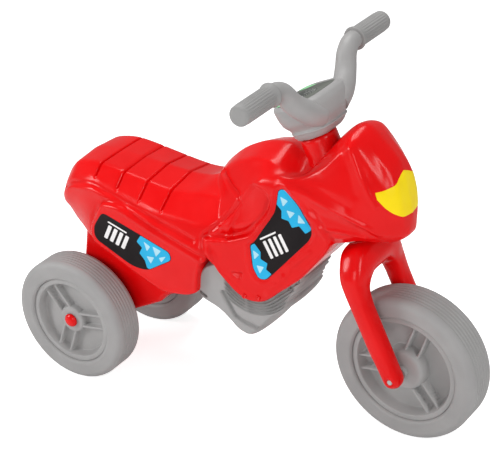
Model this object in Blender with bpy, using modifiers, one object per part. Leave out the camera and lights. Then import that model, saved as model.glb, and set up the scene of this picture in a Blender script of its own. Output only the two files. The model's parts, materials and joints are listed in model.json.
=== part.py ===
"""Kids ride-on motorcycle: a blow-moulded red body on three hard plastic wheels.

Metres, +X forward, +Y to the rider's left, +Z up, ground at z = 0.
The body is drawn in its own frame, where the seat is level and the front axle is at BODY_FRONT_X.
BODY_FRAME then leans it nose-down about the front axle and centres the whole toy on x = 0.
"""

import math

import bmesh
import bpy
import numpy as np
from mathutils import Matrix, Vector

for old in list(bpy.data.objects):
    bpy.data.objects.remove(old, do_unlink=True)

# Driving sizes
WHEELBASE = 0.4935
BODY_FRONT_X = 0.455                 # front axle in the body's own frame
BODY_REAR_X = -0.0385                # rear axle in the body's own frame, as its outlines are drawn
PITCH = math.radians(4.45)           # how far the body leans nose-down
REAR_RADIUS = 0.0925
REAR_WIDTH = 0.049
REAR_MIDPLANE = 0.0898               # rear wheel mid-plane, from the centre line
FRONT_RADIUS = 0.105
FRONT_WIDTH = 0.056
RAKE = math.radians(22.55)           # steering axis, leaning back from upright
REAR_X = (REAR_RADIUS - WHEELBASE - FRONT_RADIUS) / 2
GAP = 0.0003                         # between pieces that touch on the real toy
RUN = 0.0005                         # between pieces that turn on each other
FACETS = 40                          # round parts, a multiple of four
SMALL_FACETS = 24

# Steering frame: u forward, y left, w up the steering axis, from the front axle
STEER_FRAME = (Matrix.Translation((REAR_X + WHEELBASE, 0, FRONT_RADIUS))
               @ Matrix.Rotation(-RAKE, 4, "Y"))
FRONT_CENTRE = Vector((REAR_X + WHEELBASE, 0, FRONT_RADIUS))
STRETCH = WHEELBASE / (BODY_FRONT_X - BODY_REAR_X)
BODY_FRAME = (Matrix.Translation(FRONT_CENTRE) @ Matrix.Rotation(PITCH, 4, "Y")
              @ Matrix.Diagonal((STRETCH, 1, 1, 1)) @ Matrix.Translation((-BODY_FRONT_X, 0, -FRONT_RADIUS)))
UNDERSIDE_W = 0.1880                 # boss under the nose, where the fork bears
NECK_TOP_W = 0.3320                  # top of the raised neck, where the handlebar sits
NECK_RADIUS = 0.0250
STEM_RADIUS = 0.0170
BUSH_FLANGE = 0.0018
CROWN_TOP_W = UNDERSIDE_W - BUSH_FLANGE - 2 * GAP
POD_LOW_W = NECK_TOP_W + BUSH_FLANGE + 2 * GAP
POD_TALL = 0.0526
POD_TOP_W = POD_LOW_W + POD_TALL
SCREW_SEAT_W = POD_TOP_W - 0.0150
SPIGOT_TOP_W = SCREW_SEAT_W - 0.0080
AXLE_RADIUS = 0.0040
SEAT_TOP = 0.287

COLLECTION = bpy.data.collections.new("ride_on_motorcycle")
bpy.context.scene.collection.children.link(COLLECTION)

# Materials
RED = ("moulded_red", (0.78, 0.005, 0.008), 0.32, 0.0)
GREY = ("moulded_grey", (0.30, 0.295, 0.285), 0.48, 0.0)
TYRE_GREY = ("tyre_grey", (0.27, 0.262, 0.255), 0.60, 0.0)
GRIP_GREY = ("grip_grey", (0.24, 0.235, 0.23), 0.75, 0.0)
STEEL = ("bright_steel", (0.60, 0.60, 0.58), 0.30, 1.0)
BUSH_WHITE = ("bush_white", (0.75, 0.74, 0.70), 0.45, 0.0)
DECAL_BLACK = ("decal_black", (0.015, 0.013, 0.013), 0.35, 0.0)
LAMP_YELLOW = ("lamp_yellow", (1.0, 0.75, 0.0), 0.35, 0.0)
DASH_DARK = ("dash_dark", (0.10, 0.11, 0.10), 0.40, 0.0)


def material(look):
    name, colour, roughness, metallic = look
    found = bpy.data.materials.get(name)
    if found:
        return found
    made = bpy.data.materials.new(name)
    made.use_nodes = True
    made.diffuse_color = (*colour, 1.0)
    shader = made.node_tree.nodes["Principled BSDF"]
    shader.inputs["Base Color"].default_value = (*colour, 1.0)
    shader.inputs["Roughness"].default_value = roughness
    shader.inputs["Metallic"].default_value = metallic
    return made


# Making and joining solids
def solid(points, faces):
    """Mesh object from points and faces, with its faces turned outward."""
    mesh = bpy.data.meshes.new("solid")
    mesh.from_pydata([tuple(point) for point in points], [], faces)
    shape = bmesh.new()
    shape.from_mesh(mesh)
    bmesh.ops.remove_doubles(shape, verts=shape.verts, dist=1e-6)
    bmesh.ops.recalc_face_normals(shape, faces=shape.faces)
    shape.to_mesh(mesh)
    shape.free()
    made = bpy.data.objects.new("solid", mesh)
    COLLECTION.objects.link(made)
    return made


def apply_modifiers(piece):
    """Bake the modifiers of a piece into its mesh."""
    graph = bpy.context.evaluated_depsgraph_get()
    baked = bpy.data.meshes.new_from_object(piece.evaluated_get(graph))
    piece.modifiers.clear()
    piece.data = baked
    return piece


def bevelled(piece, width, segments=2, angle=50.0):
    """Round the edges sharper than the angle."""
    bevel = piece.modifiers.new("edge rounding", "BEVEL")
    bevel.width = width
    bevel.segments = segments
    bevel.limit_method = "ANGLE"
    bevel.angle_limit = math.radians(angle)
    bevel.use_clamp_overlap = True
    return apply_modifiers(piece)


def combined(piece, others, operation):
    """Join, cut or intersect the piece with the others, which are used up."""
    for other in others:
        boolean = piece.modifiers.new("boolean", "BOOLEAN")
        boolean.solver = "EXACT"
        boolean.operation = operation
        boolean.object = other
        apply_modifiers(piece)
        bpy.data.objects.remove(other, do_unlink=True)
    return piece


def joined(piece, *others):
    return combined(piece, others, "UNION")


def cut(piece, *others):
    return combined(piece, others, "DIFFERENCE")


def common(piece, *others):
    return combined(piece, others, "INTERSECT")


def moved(piece, matrix):
    piece.data.transform(matrix)
    return piece


def mirrored_copy(piece):
    """Left-hand twin of a right-hand solid."""
    twin = bpy.data.objects.new("solid", piece.data.copy())
    COLLECTION.objects.link(twin)
    twin.data.transform(Matrix.Diagonal((1, -1, 1, 1)))
    twin.data.flip_normals()
    return twin


def finished(name, piece, look, origin=(0, 0, 0)):
    """Name and colour a piece, and put its origin where it turns."""
    shape = bmesh.new()
    shape.from_mesh(piece.data)
    bmesh.ops.remove_doubles(shape, verts=shape.verts, dist=1e-5)
    bmesh.ops.triangulate(shape, faces=shape.faces)
    shape.to_mesh(piece.data)
    shape.free()
    piece.data.transform(Matrix.Translation(-Vector(origin)))
    piece.location = origin
    piece.name = name
    piece.data.name = name
    piece.data.materials.clear()
    piece.data.materials.append(material(look))
    return piece


# Outlines
def rounded_outline(corners, steps=3):
    """Closed outline from (a, b, radius) corners, each rounded by a short curve."""
    points = []
    for index, (a, b, radius) in enumerate(corners):
        corner = Vector((a, b))
        if radius == 0:
            points.append(corner)
            continue
        before = Vector(corners[index - 1][:2]) - corner
        after = Vector(corners[(index + 1) % len(corners)][:2]) - corner
        reach = min(radius, 0.48 * before.length, 0.48 * after.length)
        start = corner + before.normalized() * reach
        end = corner + after.normalized() * reach
        for step in range(steps + 1):
            t = step / steps
            points.append(start * (1 - t) ** 2 + corner * 2 * t * (1 - t) + end * t ** 2)
    return points


def prism(low_face, high_face):
    """Solid between two flat faces with the same number of corners."""
    count = len(low_face)
    faces = [list(range(count)), list(range(2 * count - 1, count - 1, -1))]
    for index in range(count):
        after = (index + 1) % count
        faces.append([index, index + count, after + count, after])
    return solid(low_face + high_face, faces)


def skinned(rings):
    """Closed skin over a row of rings with the same number of points, flat at both ends."""
    count = len(rings[0])
    points = [point for ring in rings for point in ring]
    faces = [list(range(count)), list(range(len(points) - 1, len(points) - count - 1, -1))]
    for low in range(0, len(points) - count, count):
        for index in range(count):
            after = (index + 1) % count
            faces.append([low + index, low + count + index, low + count + after])
            faces.append([low + index, low + count + after, low + after])
    return solid(points, faces)


def slab(outline, near, far):
    """Side-view outline made solid from y = near(x) to y = far(x), both straight in x."""
    return prism([(x, near(x), z) for x, z in outline], [(x, far(x), z) for x, z in outline])


def flat(value):
    return lambda x: value


def plate(outline, low, high):
    """Outline in (x, y), or (u, y) of the steering frame, made solid from z = low to high."""
    return prism([(a, b, low) for a, b in outline], [(a, b, high) for a, b in outline])


def turned(profile, facets=FACETS):
    """Solid of revolution about +Z from (radius, height) points listed from top to bottom."""
    mesh = bpy.data.meshes.new("profile")
    edges = [(index, index + 1) for index in range(len(profile) - 1)]
    mesh.from_pydata([(radius, 0, height) for radius, height in profile], edges, [])
    piece = bpy.data.objects.new("turned", mesh)
    COLLECTION.objects.link(piece)
    screw = piece.modifiers.new("turn", "SCREW")
    screw.axis = "Z"
    screw.steps = facets
    screw.render_steps = facets
    screw.use_merge_vertices = True
    screw.merge_threshold = 0.00001
    apply_modifiers(piece)
    shape = bmesh.new()
    shape.from_mesh(piece.data)
    bmesh.ops.remove_doubles(shape, verts=shape.verts, dist=1e-6)
    bmesh.ops.recalc_face_normals(shape, faces=shape.faces)
    shape.to_mesh(piece.data)
    shape.free()
    return piece


def drum(radius, low, high, facets=SMALL_FACETS):
    """Plain cylinder about +Z, used for cutters and pins."""
    return turned([(0, high), (radius, high), (radius, low), (0, low)], facets)


def sleeve(inner, outer, low, high, facets=SMALL_FACETS):
    """Closed ring about +Z."""
    return turned([(inner, high), (outer, high), (outer, low), (inner, low), (inner, high)], facets)


ALONG_Y = Matrix.Rotation(math.radians(90), 4, "X")          # +Z of a turned piece becomes -Y


def across(piece, centre_x, centre_z):
    """Stand a turned piece on a crosswise axle, its +Z end to the rider's right."""
    return moved(piece, Matrix.Translation((REAR_X + centre_x, 0, centre_z)) @ ALONG_Y)


# Body: two lofts through named character lines
def through(knots, at):
    """Smooth value at each position of a curve through (position, value) knots, with no overshoot."""
    place, value = np.array(knots, dtype=float).T
    step = np.diff(place)
    slope = np.diff(value) / step
    tangent = np.zeros_like(value)
    tangent[0], tangent[-1] = slope[0], slope[-1]
    same_way = slope[:-1] * slope[1:] > 0
    inner = np.zeros_like(slope[:-1])
    inner[same_way] = 2 * (slope[:-1] * slope[1:])[same_way] / (slope[:-1] + slope[1:])[same_way]
    tangent[1:-1] = inner
    cell = np.clip(np.searchsorted(place, at) - 1, 0, len(place) - 2)
    t = (at - place[cell]) / step[cell]
    rise = value[cell + 1] - value[cell]
    start = tangent[cell] * step[cell]
    end = tangent[cell + 1] * step[cell]
    return value[cell] + t * start + t ** 2 * (3 * rise - 2 * start - end) + t ** 3 * (start + end - 2 * rise)


def under_nose(x):
    """Height of the keel under the nose, square to the steering axis and just above its boss."""
    lean = RAKE + PITCH
    return FRONT_RADIUS + (UNDERSIDE_W + 0.0005 + math.sin(lean) * (x - BODY_FRONT_X)) / math.cos(lean)


REAR_LINES = [
    # Centre of the seat
    [(-0.093, 0, 0.216), (-0.087, 0, 0.244), (-0.0755, 0, 0.264), (-0.054, 0, 0.282), (-0.016, 0, SEAT_TOP),
     (0.103, 0, SEAT_TOP), (0.130, 0, 0.290), (0.156, 0, 0.300), (0.213, 0, 0.316)],
    # Edge of the flat seat top
    [(-0.093, 0.012, 0.214), (-0.087, 0.028, 0.239), (-0.0755, 0.038, 0.259), (-0.054, 0.045, 0.279),
     (-0.016, 0.047, 0.286), (0.103, 0.046, 0.279), (0.156, 0.043, 0.287), (0.195, 0.040, 0.290),
     (0.213, 0.034, 0.288)],
    # Foot of the sloping seat side, where the seat grooves end
    [(-0.093, 0.018, 0.210), (-0.087, 0.039, 0.228), (-0.0755, 0.051, 0.244), (-0.054, 0.059, 0.262),
     (-0.016, 0.064, 0.270), (0.023, 0.0655, 0.265), (0.062, 0.0685, 0.260), (0.103, 0.0735, 0.256),
     (0.156, 0.074, 0.256), (0.195, 0.064, 0.262), (0.213, 0.052, 0.262)],
    # Valley above the bead
    [(-0.093, 0.020, 0.206), (-0.087, 0.043, 0.220), (-0.0755, 0.055, 0.235), (-0.054, 0.0625, 0.252),
     (-0.016, 0.068, 0.263), (0.023, 0.071, 0.257), (0.062, 0.074, 0.251), (0.103, 0.077, 0.244),
     (0.160, 0.079, 0.234), (0.213, 0.066, 0.225)],
    # Crest of the bead
    [(-0.093, 0.022, 0.203), (-0.087, 0.047, 0.214), (-0.0755, 0.060, 0.228), (-0.054, 0.068, 0.246),
     (-0.016, 0.074, 0.257), (0.023, 0.077, 0.251), (0.062, 0.080, 0.245), (0.103, 0.083, 0.238),
     (0.160, 0.084, 0.226), (0.213, 0.068, 0.215)],
    # Foot of the bead
    [(-0.093, 0.021, 0.199), (-0.087, 0.045, 0.204), (-0.0755, 0.057, 0.214), (-0.054, 0.065, 0.232),
     (-0.016, 0.072, 0.244), (0.062, 0.077, 0.231), (0.160, 0.081, 0.211), (0.213, 0.068, 0.200)],
    # Lower side
    [(-0.093, 0.016, 0.197), (-0.087, 0.032, 0.195), (-0.0755, 0.042, 0.189), (-0.054, 0.052, 0.181),
     (-0.016, 0.070, 0.176), (0.062, 0.073, 0.172), (0.160, 0.076, 0.172), (0.213, 0.066, 0.175)],
    # Centre of the bottom
    [(-0.093, 0, 0.192), (-0.087, 0, 0.186), (-0.0755, 0, 0.176), (-0.054, 0, 0.165), (-0.016, 0, 0.160),
     (0.160, 0, 0.160), (0.213, 0, 0.168)],
]

FRONT_LINES = [
    # Crest of the tank, dip at the neck, top of the nose and keel of its front
    [(0.150, 0, 0.296), (0.160, 0, 0.314), (0.175, 0, 0.333), (0.200, 0, 0.357), (0.235, 0, 0.375),
     (0.262, 0, 0.378), (0.290, 0, 0.367), (0.315, 0, 0.374), (0.335, 0, 0.400), (0.355, 0, 0.424),
     (0.370, 0, 0.435), (0.380, 0, 0.433), (0.400, 0, 0.418), (0.415, 0, 0.405), (0.425, 0, 0.395),
     (0.433, 0, 0.376), (0.440, 0, 0.352), (0.446, 0, 0.326), (0.448, 0, 0.308)],
    # Upper shoulder, and edge of the raised strip down the front
    [(0.150, 0.004, 0.294), (0.165, 0.014, 0.314), (0.180, 0.022, 0.330), (0.200, 0.030, 0.344),
     (0.235, 0.037, 0.362), (0.262, 0.040, 0.365), (0.300, 0.036, 0.355), (0.335, 0.026, 0.394),
     (0.355, 0.021, 0.420), (0.370, 0.022, 0.430), (0.380, 0.022, 0.427), (0.398, 0.0205, 0.414),
     (0.413, 0.0205, 0.401), (0.424, 0.021, 0.389), (0.432, 0.022, 0.374), (0.438, 0.022, 0.354),
     (0.443, 0.020, 0.330), (0.446, 0.014, 0.316), (0.448, 0.006, 0.307)],
    # Side edge of the top, then the upright ridge beside the headlight
    [(0.150, 0.006, 0.290), (0.165, 0.020, 0.300), (0.180, 0.030, 0.312), (0.200, 0.040, 0.322),
     (0.235, 0.052, 0.338), (0.258, 0.057, 0.350), (0.300, 0.053, 0.360), (0.330, 0.047, 0.372),
     (0.355, 0.042, 0.400), (0.376, 0.042, 0.422), (0.384, 0.044, 0.407), (0.392, 0.046, 0.392),
     (0.403, 0.047, 0.375), (0.416, 0.042, 0.366), (0.426, 0.038, 0.350), (0.434, 0.031, 0.336),
     (0.442, 0.020, 0.318), (0.448, 0.008, 0.306)],
    # Long ridge along the side
    [(0.150, 0.010, 0.284), (0.165, 0.028, 0.286), (0.180, 0.040, 0.290), (0.200, 0.050, 0.296),
     (0.235, 0.060, 0.325), (0.258, 0.062, 0.345), (0.300, 0.064, 0.346), (0.340, 0.062, 0.341),
     (0.375, 0.058, 0.334), (0.403, 0.052, 0.322), (0.418, 0.045, 0.315), (0.430, 0.036, 0.309),
     (0.440, 0.024, 0.305), (0.448, 0.009, 0.304)],
    # Lower side
    [(0.150, 0.012, 0.278), (0.165, 0.045, 0.262), (0.180, 0.062, 0.258), (0.200, 0.068, 0.262),
     (0.235, 0.070, 0.275), (0.258, 0.068, 0.285), (0.300, 0.064, 0.290), (0.340, 0.058, 0.290),
     (0.360, 0.054, 0.290), (0.400, 0.045, 0.298), (0.425, 0.035, 0.299), (0.440, 0.023, 0.300),
     (0.448, 0.009, 0.302)],
    # Bottom edge
    [(0.150, 0.010, 0.270), (0.165, 0.040, 0.240), (0.200, 0.060, 0.235), (0.300, 0.054, 0.235),
     (0.335, 0.045, 0.268), (0.360, 0.043, 0.276), (0.400, 0.035, 0.288), (0.425, 0.026, 0.289),
     (0.440, 0.016, 0.293), (0.448, 0.006, 0.300)],
    # Centre of the bottom
    [(0.150, 0, 0.268), (0.165, 0, 0.240), (0.200, 0, 0.235), (0.300, 0, 0.235),
     (0.335, 0, under_nose(0.335)), (0.350, 0, under_nose(0.350)), (0.385, 0, under_nose(0.385)),
     (0.400, 0, under_nose(0.400)), (0.425, 0, 0.2895), (0.440, 0, 0.2925), (0.448, 0, 0.299)],
]

REAR_STATIONS = [-0.093, -0.091, -0.087, -0.081, -0.071, -0.059, -0.044, -0.016, 0.023, 0.062, 0.103, 0.130,
                 0.145, 0.160, 0.175, 0.190, 0.203, 0.213]
FRONT_STATIONS = [0.150, 0.157, 0.166, 0.180, 0.200, 0.220, 0.240, 0.262, 0.285, 0.305, 0.325, 0.335, 0.350,
                  0.364, 0.374, 0.384, 0.394, 0.405, 0.416, 0.426, 0.434, 0.441, 0.446, 0.448]


def softened(half, radius, steps):
    """Round the corners of an open half section, keeping its two ends on the centre line."""
    corners = [Vector(point) for point in half]
    points = [corners[0]]
    for before, corner, after in zip(corners, corners[1:], corners[2:]):
        back, ahead = before - corner, after - corner
        start = corner + back * min(0.45, radius / max(back.length, 1e-9))
        end = corner + ahead * min(0.45, radius / max(ahead.length, 1e-9))
        for step in range(steps + 1):
            t = step / steps
            points.append(start * (1 - t) ** 2 + corner * 2 * t * (1 - t) + end * t ** 2)
    points.append(corners[-1])
    return points


def lofted(lines, stations, inset=0.0, radius=0.006, steps=2):
    """Closed skin over cross sections at the stations, mirrored about the centre line."""
    rings = []
    for x in stations:
        at = np.array([x])
        half = []
        for line in lines:
            y = through([(place, wide) for place, wide, _ in line], at)[0]
            z = through([(place, high) for place, _, high in line], at)[0]
            half.append((max(y - inset, 0.0) if y > 0 else 0.0, z - inset))
        half = softened(half, radius, steps)
        right = [(x, -point.x, point.y) for point in half]
        left = [(x, point.x, point.y) for point in half[-2:0:-1]]
        rings.append(right + left)
    return skinned(rings)


REAR_PANEL_SIDE = 0.0815
REAR_PANEL = [(0.003, 0.241, 0.010), (-0.0165, 0.203, 0.010), (-0.0145, 0.180, 0.010),
              (0.058, 0.152, 0.012), (0.110, 0.135, 0.010), (0.150, 0.144, 0.006), (0.167, 0.154, 0.006),
              (0.168, 0.180, 0.006), (0.181, 0.208, 0.010), (0.130, 0.214, 0.012)]
REAR_STICKER = [(0.0085, 0.232, 0.008), (-0.0075, 0.204, 0.008), (-0.0060, 0.186, 0.010),
                (0.058, 0.1615, 0.012), (0.084, 0.163, 0.010), (0.126, 0.193, 0.007),
                (0.1225, 0.2045, 0.010)]
AXLE_BOX = [(-0.044, 0.175, 0), (-0.047, 0.150, 0.010), (-0.059, 0.056, 0.018), (-0.046, 0.033, 0.014),
            (-0.024, 0.033, 0.012), (0.042, 0.0715, 0.010), (0.0835, 0.0970, 0.004),
            (0.0935, 0.1110, 0.004), (0.150, 0.1400, 0), (0.165, 0.155, 0), (0.165, 0.190, 0),
            (-0.044, 0.190, 0)]
AXLE_BOX_SIDE = 0.056
BELLY = [(0.176, 0.240, 0), (0.1845, 0.203, 0.008), (0.222, 0.168, 0.006), (0.240, 0.159, 0.010),
         (0.262, 0.162, 0.010), (0.317, 0.214, 0.010), (0.352, 0.262, 0.010), (0.359, 0.281, 0.006),
         (0.340, 0.312, 0.010), (0.302, 0.352, 0.008), (0.287, 0.354, 0.006), (0.274, 0.330, 0.010),
         (0.268, 0.300, 0.010), (0.240, 0.264, 0.010), (0.215, 0.250, 0.006)]
FRONT_STICKER = [(0.2930, 0.3450, 0.007), (0.2840, 0.3410, 0.005), (0.2800, 0.3080, 0.008),
                 (0.2500, 0.2550, 0.005), (0.2430, 0.2490, 0.004), (0.2470, 0.2150, 0.006),
                 (0.2560, 0.1990, 0.008), (0.2680, 0.2010, 0.006), (0.3290, 0.2780, 0.009),
                 (0.3330, 0.2940, 0.008), (0.3130, 0.3250, 0.008)]
HEADLIGHT = [(0.0, 0.3700, 0), (0.0200, 0.3715, 0.006), (0.0400, 0.3750, 0.002), (0.0410, 0.3650, 0.004),
             (0.0340, 0.3440, 0.010), (0.0200, 0.3280, 0.010), (0.0080, 0.3215, 0.006), (0.0, 0.3215, 0)]
HEADLIGHT_BACK_X = 0.385              # behind the skin of the nose
HEADLIGHT_CLEAR_X = 0.470             # ahead of it
STICKER_THICK = 0.0008
POCKET_DEEP = 0.0012
POCKET_ROOM = 0.0006                  # round a sticker, in its pocket
CLEAR_SIDE = 0.12                     # half width beyond every piece of the body


def belly_side(x):
    """Half width of the belly, narrowing towards the nose."""
    return 0.0745 - 0.122 * (x - 0.190)


def both_sides(outline, inner, outer):
    """Slab on the right and its mirror on the left."""
    right = slab(outline, lambda x: -outer(x), lambda x: -inner(x))
    return [right, mirrored_copy(right)]


def grown(corners, by):
    """Outline pushed out from its own middle by about the given amount."""
    middle = Vector((sum(c[0] for c in corners), sum(c[1] for c in corners))) / len(corners)
    result = []
    for a, b, radius in corners:
        away = Vector((a, b)) - middle
        place = middle + away * (1 + by / max(away.length, 1e-9))
        result.append((place.x, place.y, radius))
    return result


def headlight_block(by, steps=4):
    """Headlight outline, seen from the front, run back through the nose."""
    half = [(y, z, radius) for y, z, radius in HEADLIGHT]
    ring = half + [(-y, z, radius) for y, z, radius in half[-2:0:-1]]
    outline = rounded_outline(grown(ring, by), steps)
    back = [(HEADLIGHT_BACK_X, y, z) for y, z in outline]
    return prism(back, [(HEADLIGHT_CLEAR_X, y, z) for _, y, z in back])


def nose(back):
    """Front loft moved back along x, to find a skin of even thickness."""
    return moved(lofted(FRONT_LINES, FRONT_STATIONS), Matrix.Translation((-back, 0, 0)))


GROOVES = [-0.016 + 0.0395 * number for number in range(4)]
GROOVE_WIDE = 0.0030
GROOVE_DEEP = 0.0025


def seat_groove(x):
    """Cutter for one seat groove: what lies above a lowered copy of the seat."""
    end = 0.0635 + 0.003 * (x + 0.016) / 0.0395
    foot = 0.262 - 0.09 * (x + 0.016)
    half = GROOVE_WIDE / 2
    above = SEAT_TOP + 0.02
    outline = [(x - half, foot), (x + half, foot), (x + half, above), (x - half, above)]
    cutter = slab(outline, flat(-end), flat(end))
    return cut(cutter, lofted(REAR_LINES, REAR_STATIONS, inset=GROOVE_DEEP))


ENGINE = [(0.186, 0.207, 0.014), (0.162, 0.194, 0.014), (0.153, 0.165, 0.014), (0.156, 0.141, 0.008),
          (0.190, 0.128, 0.012), (0.208, 0.113, 0.010), (0.222, 0.099, 0.010), (0.242, 0.093, 0.012),
          (0.268, 0.127, 0.010), (0.293, 0.154, 0.004), (0.294, 0.167, 0.004), (0.303, 0.182, 0.008),
          (0.311, 0.199, 0.008), (0.311, 0.214, 0.004), (0.312, 0.229, 0.010), (0.314, 0.239, 0.008),
          (0.306, 0.246, 0), (0.290, 0.234, 0), (0.262, 0.212, 0), (0.235, 0.203, 0)]
ENGINE_MIDDLE = (0.235, 0.175)
ENGINE_ROUNDING = 0.14                # share by which its outline shrinks towards both side faces
ENGINE_STATIONS = [-1, -0.92, -0.75, -0.45, 0, 0.45, 0.75, 0.92, 1]
ARCH = [(0.186, 0.209, 0.012), (0.170, 0.203, 0.012), (0.168, 0.180, 0.010), (0.167, 0.120, 0),
        (0.240, 0.120, 0), (0.222, 0.168, 0), (0.199, 0.1895, 0.004)]
ENGINE_THICK_WALL = 0.0045            # belly wall beside the engine
TAPER_X, TAPER = 0.262, 0.25          # where the engine starts to narrow forward, and how fast


def engine_side(x):
    """Half width of the room for the engine, between the belly walls."""
    return belly_side(x) - ENGINE_THICK_WALL


def engine_face(x):
    """Half width of the engine itself, which narrows ahead of the plugs."""
    return engine_side(x) - TAPER * max(x - TAPER_X, 0)


def through_body(radius, x, z, facets=12):
    """Crosswise cylinder in the body's own frame."""
    return moved(drum(radius, -CLEAR_SIDE, CLEAR_SIDE, facets), Matrix.Translation((x, 0, z)) @ ALONG_Y)


def tunnel(radius, low, high, facets=32):
    """Cylinder about the steering axis."""
    return moved(drum(radius, low, high, facets), STEER_FRAME)


BUSH_LONG = 0.012
STEM_ROOM = 0.0015                    # around the stem, between the bushes
BUSH_OUTER = STEM_RADIUS + 0.0035
CROWN_ROOM = 0.0500                   # what the fork's turning crown sweeps, under the neck
CROWN_ROOM_W = CROWN_TOP_W - 0.0300
POD_SWING = NECK_RADIUS + 0.0370      # what the turning pod sweeps above the neck
PLUGS = [(0.235, 0.1675), (0.2555, 0.1700)]
PLUG_RADIUS = 0.0030


def stem_bore():
    """Cutter for the stem's tunnel, its bush seats, and the room of the crown below and the pod above."""
    seat = BUSH_OUTER + GAP
    middle = STEM_RADIUS + STEM_ROOM
    high = [(0, POD_TOP_W), (POD_SWING, POD_TOP_W), (POD_SWING, NECK_TOP_W), (seat, NECK_TOP_W),
            (seat, NECK_TOP_W - BUSH_LONG), (middle, NECK_TOP_W - BUSH_LONG)]
    low = [(middle, UNDERSIDE_W + BUSH_LONG), (seat, UNDERSIDE_W + BUSH_LONG), (seat, UNDERSIDE_W),
           (CROWN_ROOM, UNDERSIDE_W), (CROWN_ROOM, CROWN_ROOM_W), (0, CROWN_ROOM_W)]
    return moved(turned(high + low, 32), STEER_FRAME)


def body_shell():
    body = lofted(REAR_LINES, REAR_STATIONS)
    body = joined(body, lofted(FRONT_LINES, FRONT_STATIONS))
    box = slab(rounded_outline(AXLE_BOX), flat(-AXLE_BOX_SIDE), flat(AXLE_BOX_SIDE))
    body = joined(body, bevelled(box, 0.005))
    panel = rounded_outline(REAR_PANEL)
    body = joined(body, bevelled(slab(panel, flat(-REAR_PANEL_SIDE), flat(REAR_PANEL_SIDE)), 0.0035))
    belly = rounded_outline(BELLY)
    body = joined(body, bevelled(slab(belly, lambda x: -belly_side(x), belly_side), 0.0030))
    cuts = [seat_groove(x) for x in GROOVES]
    pocket = rounded_outline(grown(REAR_STICKER, POCKET_ROOM))
    cuts += both_sides(pocket, flat(REAR_PANEL_SIDE - POCKET_DEEP), flat(CLEAR_SIDE))
    pocket = rounded_outline(grown(FRONT_STICKER, POCKET_ROOM))
    cuts += both_sides(pocket, lambda x: belly_side(x) - POCKET_DEEP, flat(CLEAR_SIDE))
    cuts.append(cut(headlight_block(GAP), nose(POCKET_DEEP + 0.0006)))
    room = rounded_outline(grown(ENGINE, 0.0012))
    cuts.append(slab(room, lambda x: -engine_side(x) - GAP, lambda x: engine_side(x) + GAP))
    cuts.append(slab(rounded_outline(ARCH), flat(-CLEAR_SIDE), flat(CLEAR_SIDE)))
    cuts += [through_body(PLUG_RADIUS + GAP, x, z) for x, z in PLUGS]
    body = moved(cut(body, *cuts), BODY_FRAME)
    trim = 0.002
    neck = drum(NECK_RADIUS, UNDERSIDE_W - trim, NECK_TOP_W + trim, 32)
    body = joined(body, moved(neck, STEER_FRAME))
    rear_axle_hole = across(drum(AXLE_RADIUS + GAP, -CLEAR_SIDE, CLEAR_SIDE), 0, REAR_RADIUS)
    return finished("body_shell", cut(body, stem_bore(), rear_axle_hole), RED)


# Pieces fixed to the body
def engine_block():
    """Grey moulding held between the belly walls, exhaust and all."""
    middle = Vector(ENGINE_MIDDLE)
    rings = []
    for share in ENGINE_STATIONS:
        shrink = 1 - ENGINE_ROUNDING * (1 - math.sqrt(1 - share ** 2))
        outline = [middle + (point - middle) * shrink for point in rounded_outline(ENGINE)]
        rings.append([(x, share * engine_face(x), z) for x, z in outline])
    block = skinned(rings)
    holes = [through_body(PLUG_RADIUS + GAP, x, z) for x, z in PLUGS]
    block = moved(cut(block, *holes), BODY_FRAME)
    return finished("engine_block", cut(block, tunnel(CROWN_ROOM, 0.05, NECK_TOP_W, 40)), GREY)


def belly_plugs():
    """Pins pushed through the belly walls into the engine."""
    for place, (x, z) in zip(("rear", "front"), PLUGS):
        outside = belly_side(x) - 0.0008
        profile = [(0, outside), (PLUG_RADIUS, outside), (PLUG_RADIUS, outside - 0.016), (0, outside - 0.016)]
        right = moved(turned(profile, 12), BODY_FRAME @ Matrix.Translation((x, 0, z)) @ ALONG_Y)
        left = mirrored_copy(right)
        finished("belly_plug_right_" + place, right, RED)
        finished("belly_plug_left_" + place, left, RED)


def side_decals():
    floor = REAR_PANEL_SIDE - POCKET_DEEP + GAP
    rear = both_sides(rounded_outline(REAR_STICKER), flat(floor), flat(floor + STICKER_THICK))
    inner = lambda x: belly_side(x) - POCKET_DEEP + GAP
    outer = lambda x: belly_side(x) - POCKET_DEEP + GAP + STICKER_THICK
    front = both_sides(rounded_outline(FRONT_STICKER), inner, outer)
    for piece, side in zip(rear, ("right", "left")):
        finished("side_decal_rear_" + side, moved(piece, BODY_FRAME), DECAL_BLACK)
    for piece, side in zip(front, ("right", "left")):
        finished("side_decal_front_" + side, moved(piece, BODY_FRAME), DECAL_BLACK)


def headlight_decal():
    """Yellow skin lying in its pocket on the nose."""
    skin = common(headlight_block(0), nose(0.0006))
    skin = cut(skin, nose(POCKET_DEEP + 0.0006 - GAP))
    return finished("headlight_decal", moved(skin, BODY_FRAME), LAMP_YELLOW)


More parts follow.
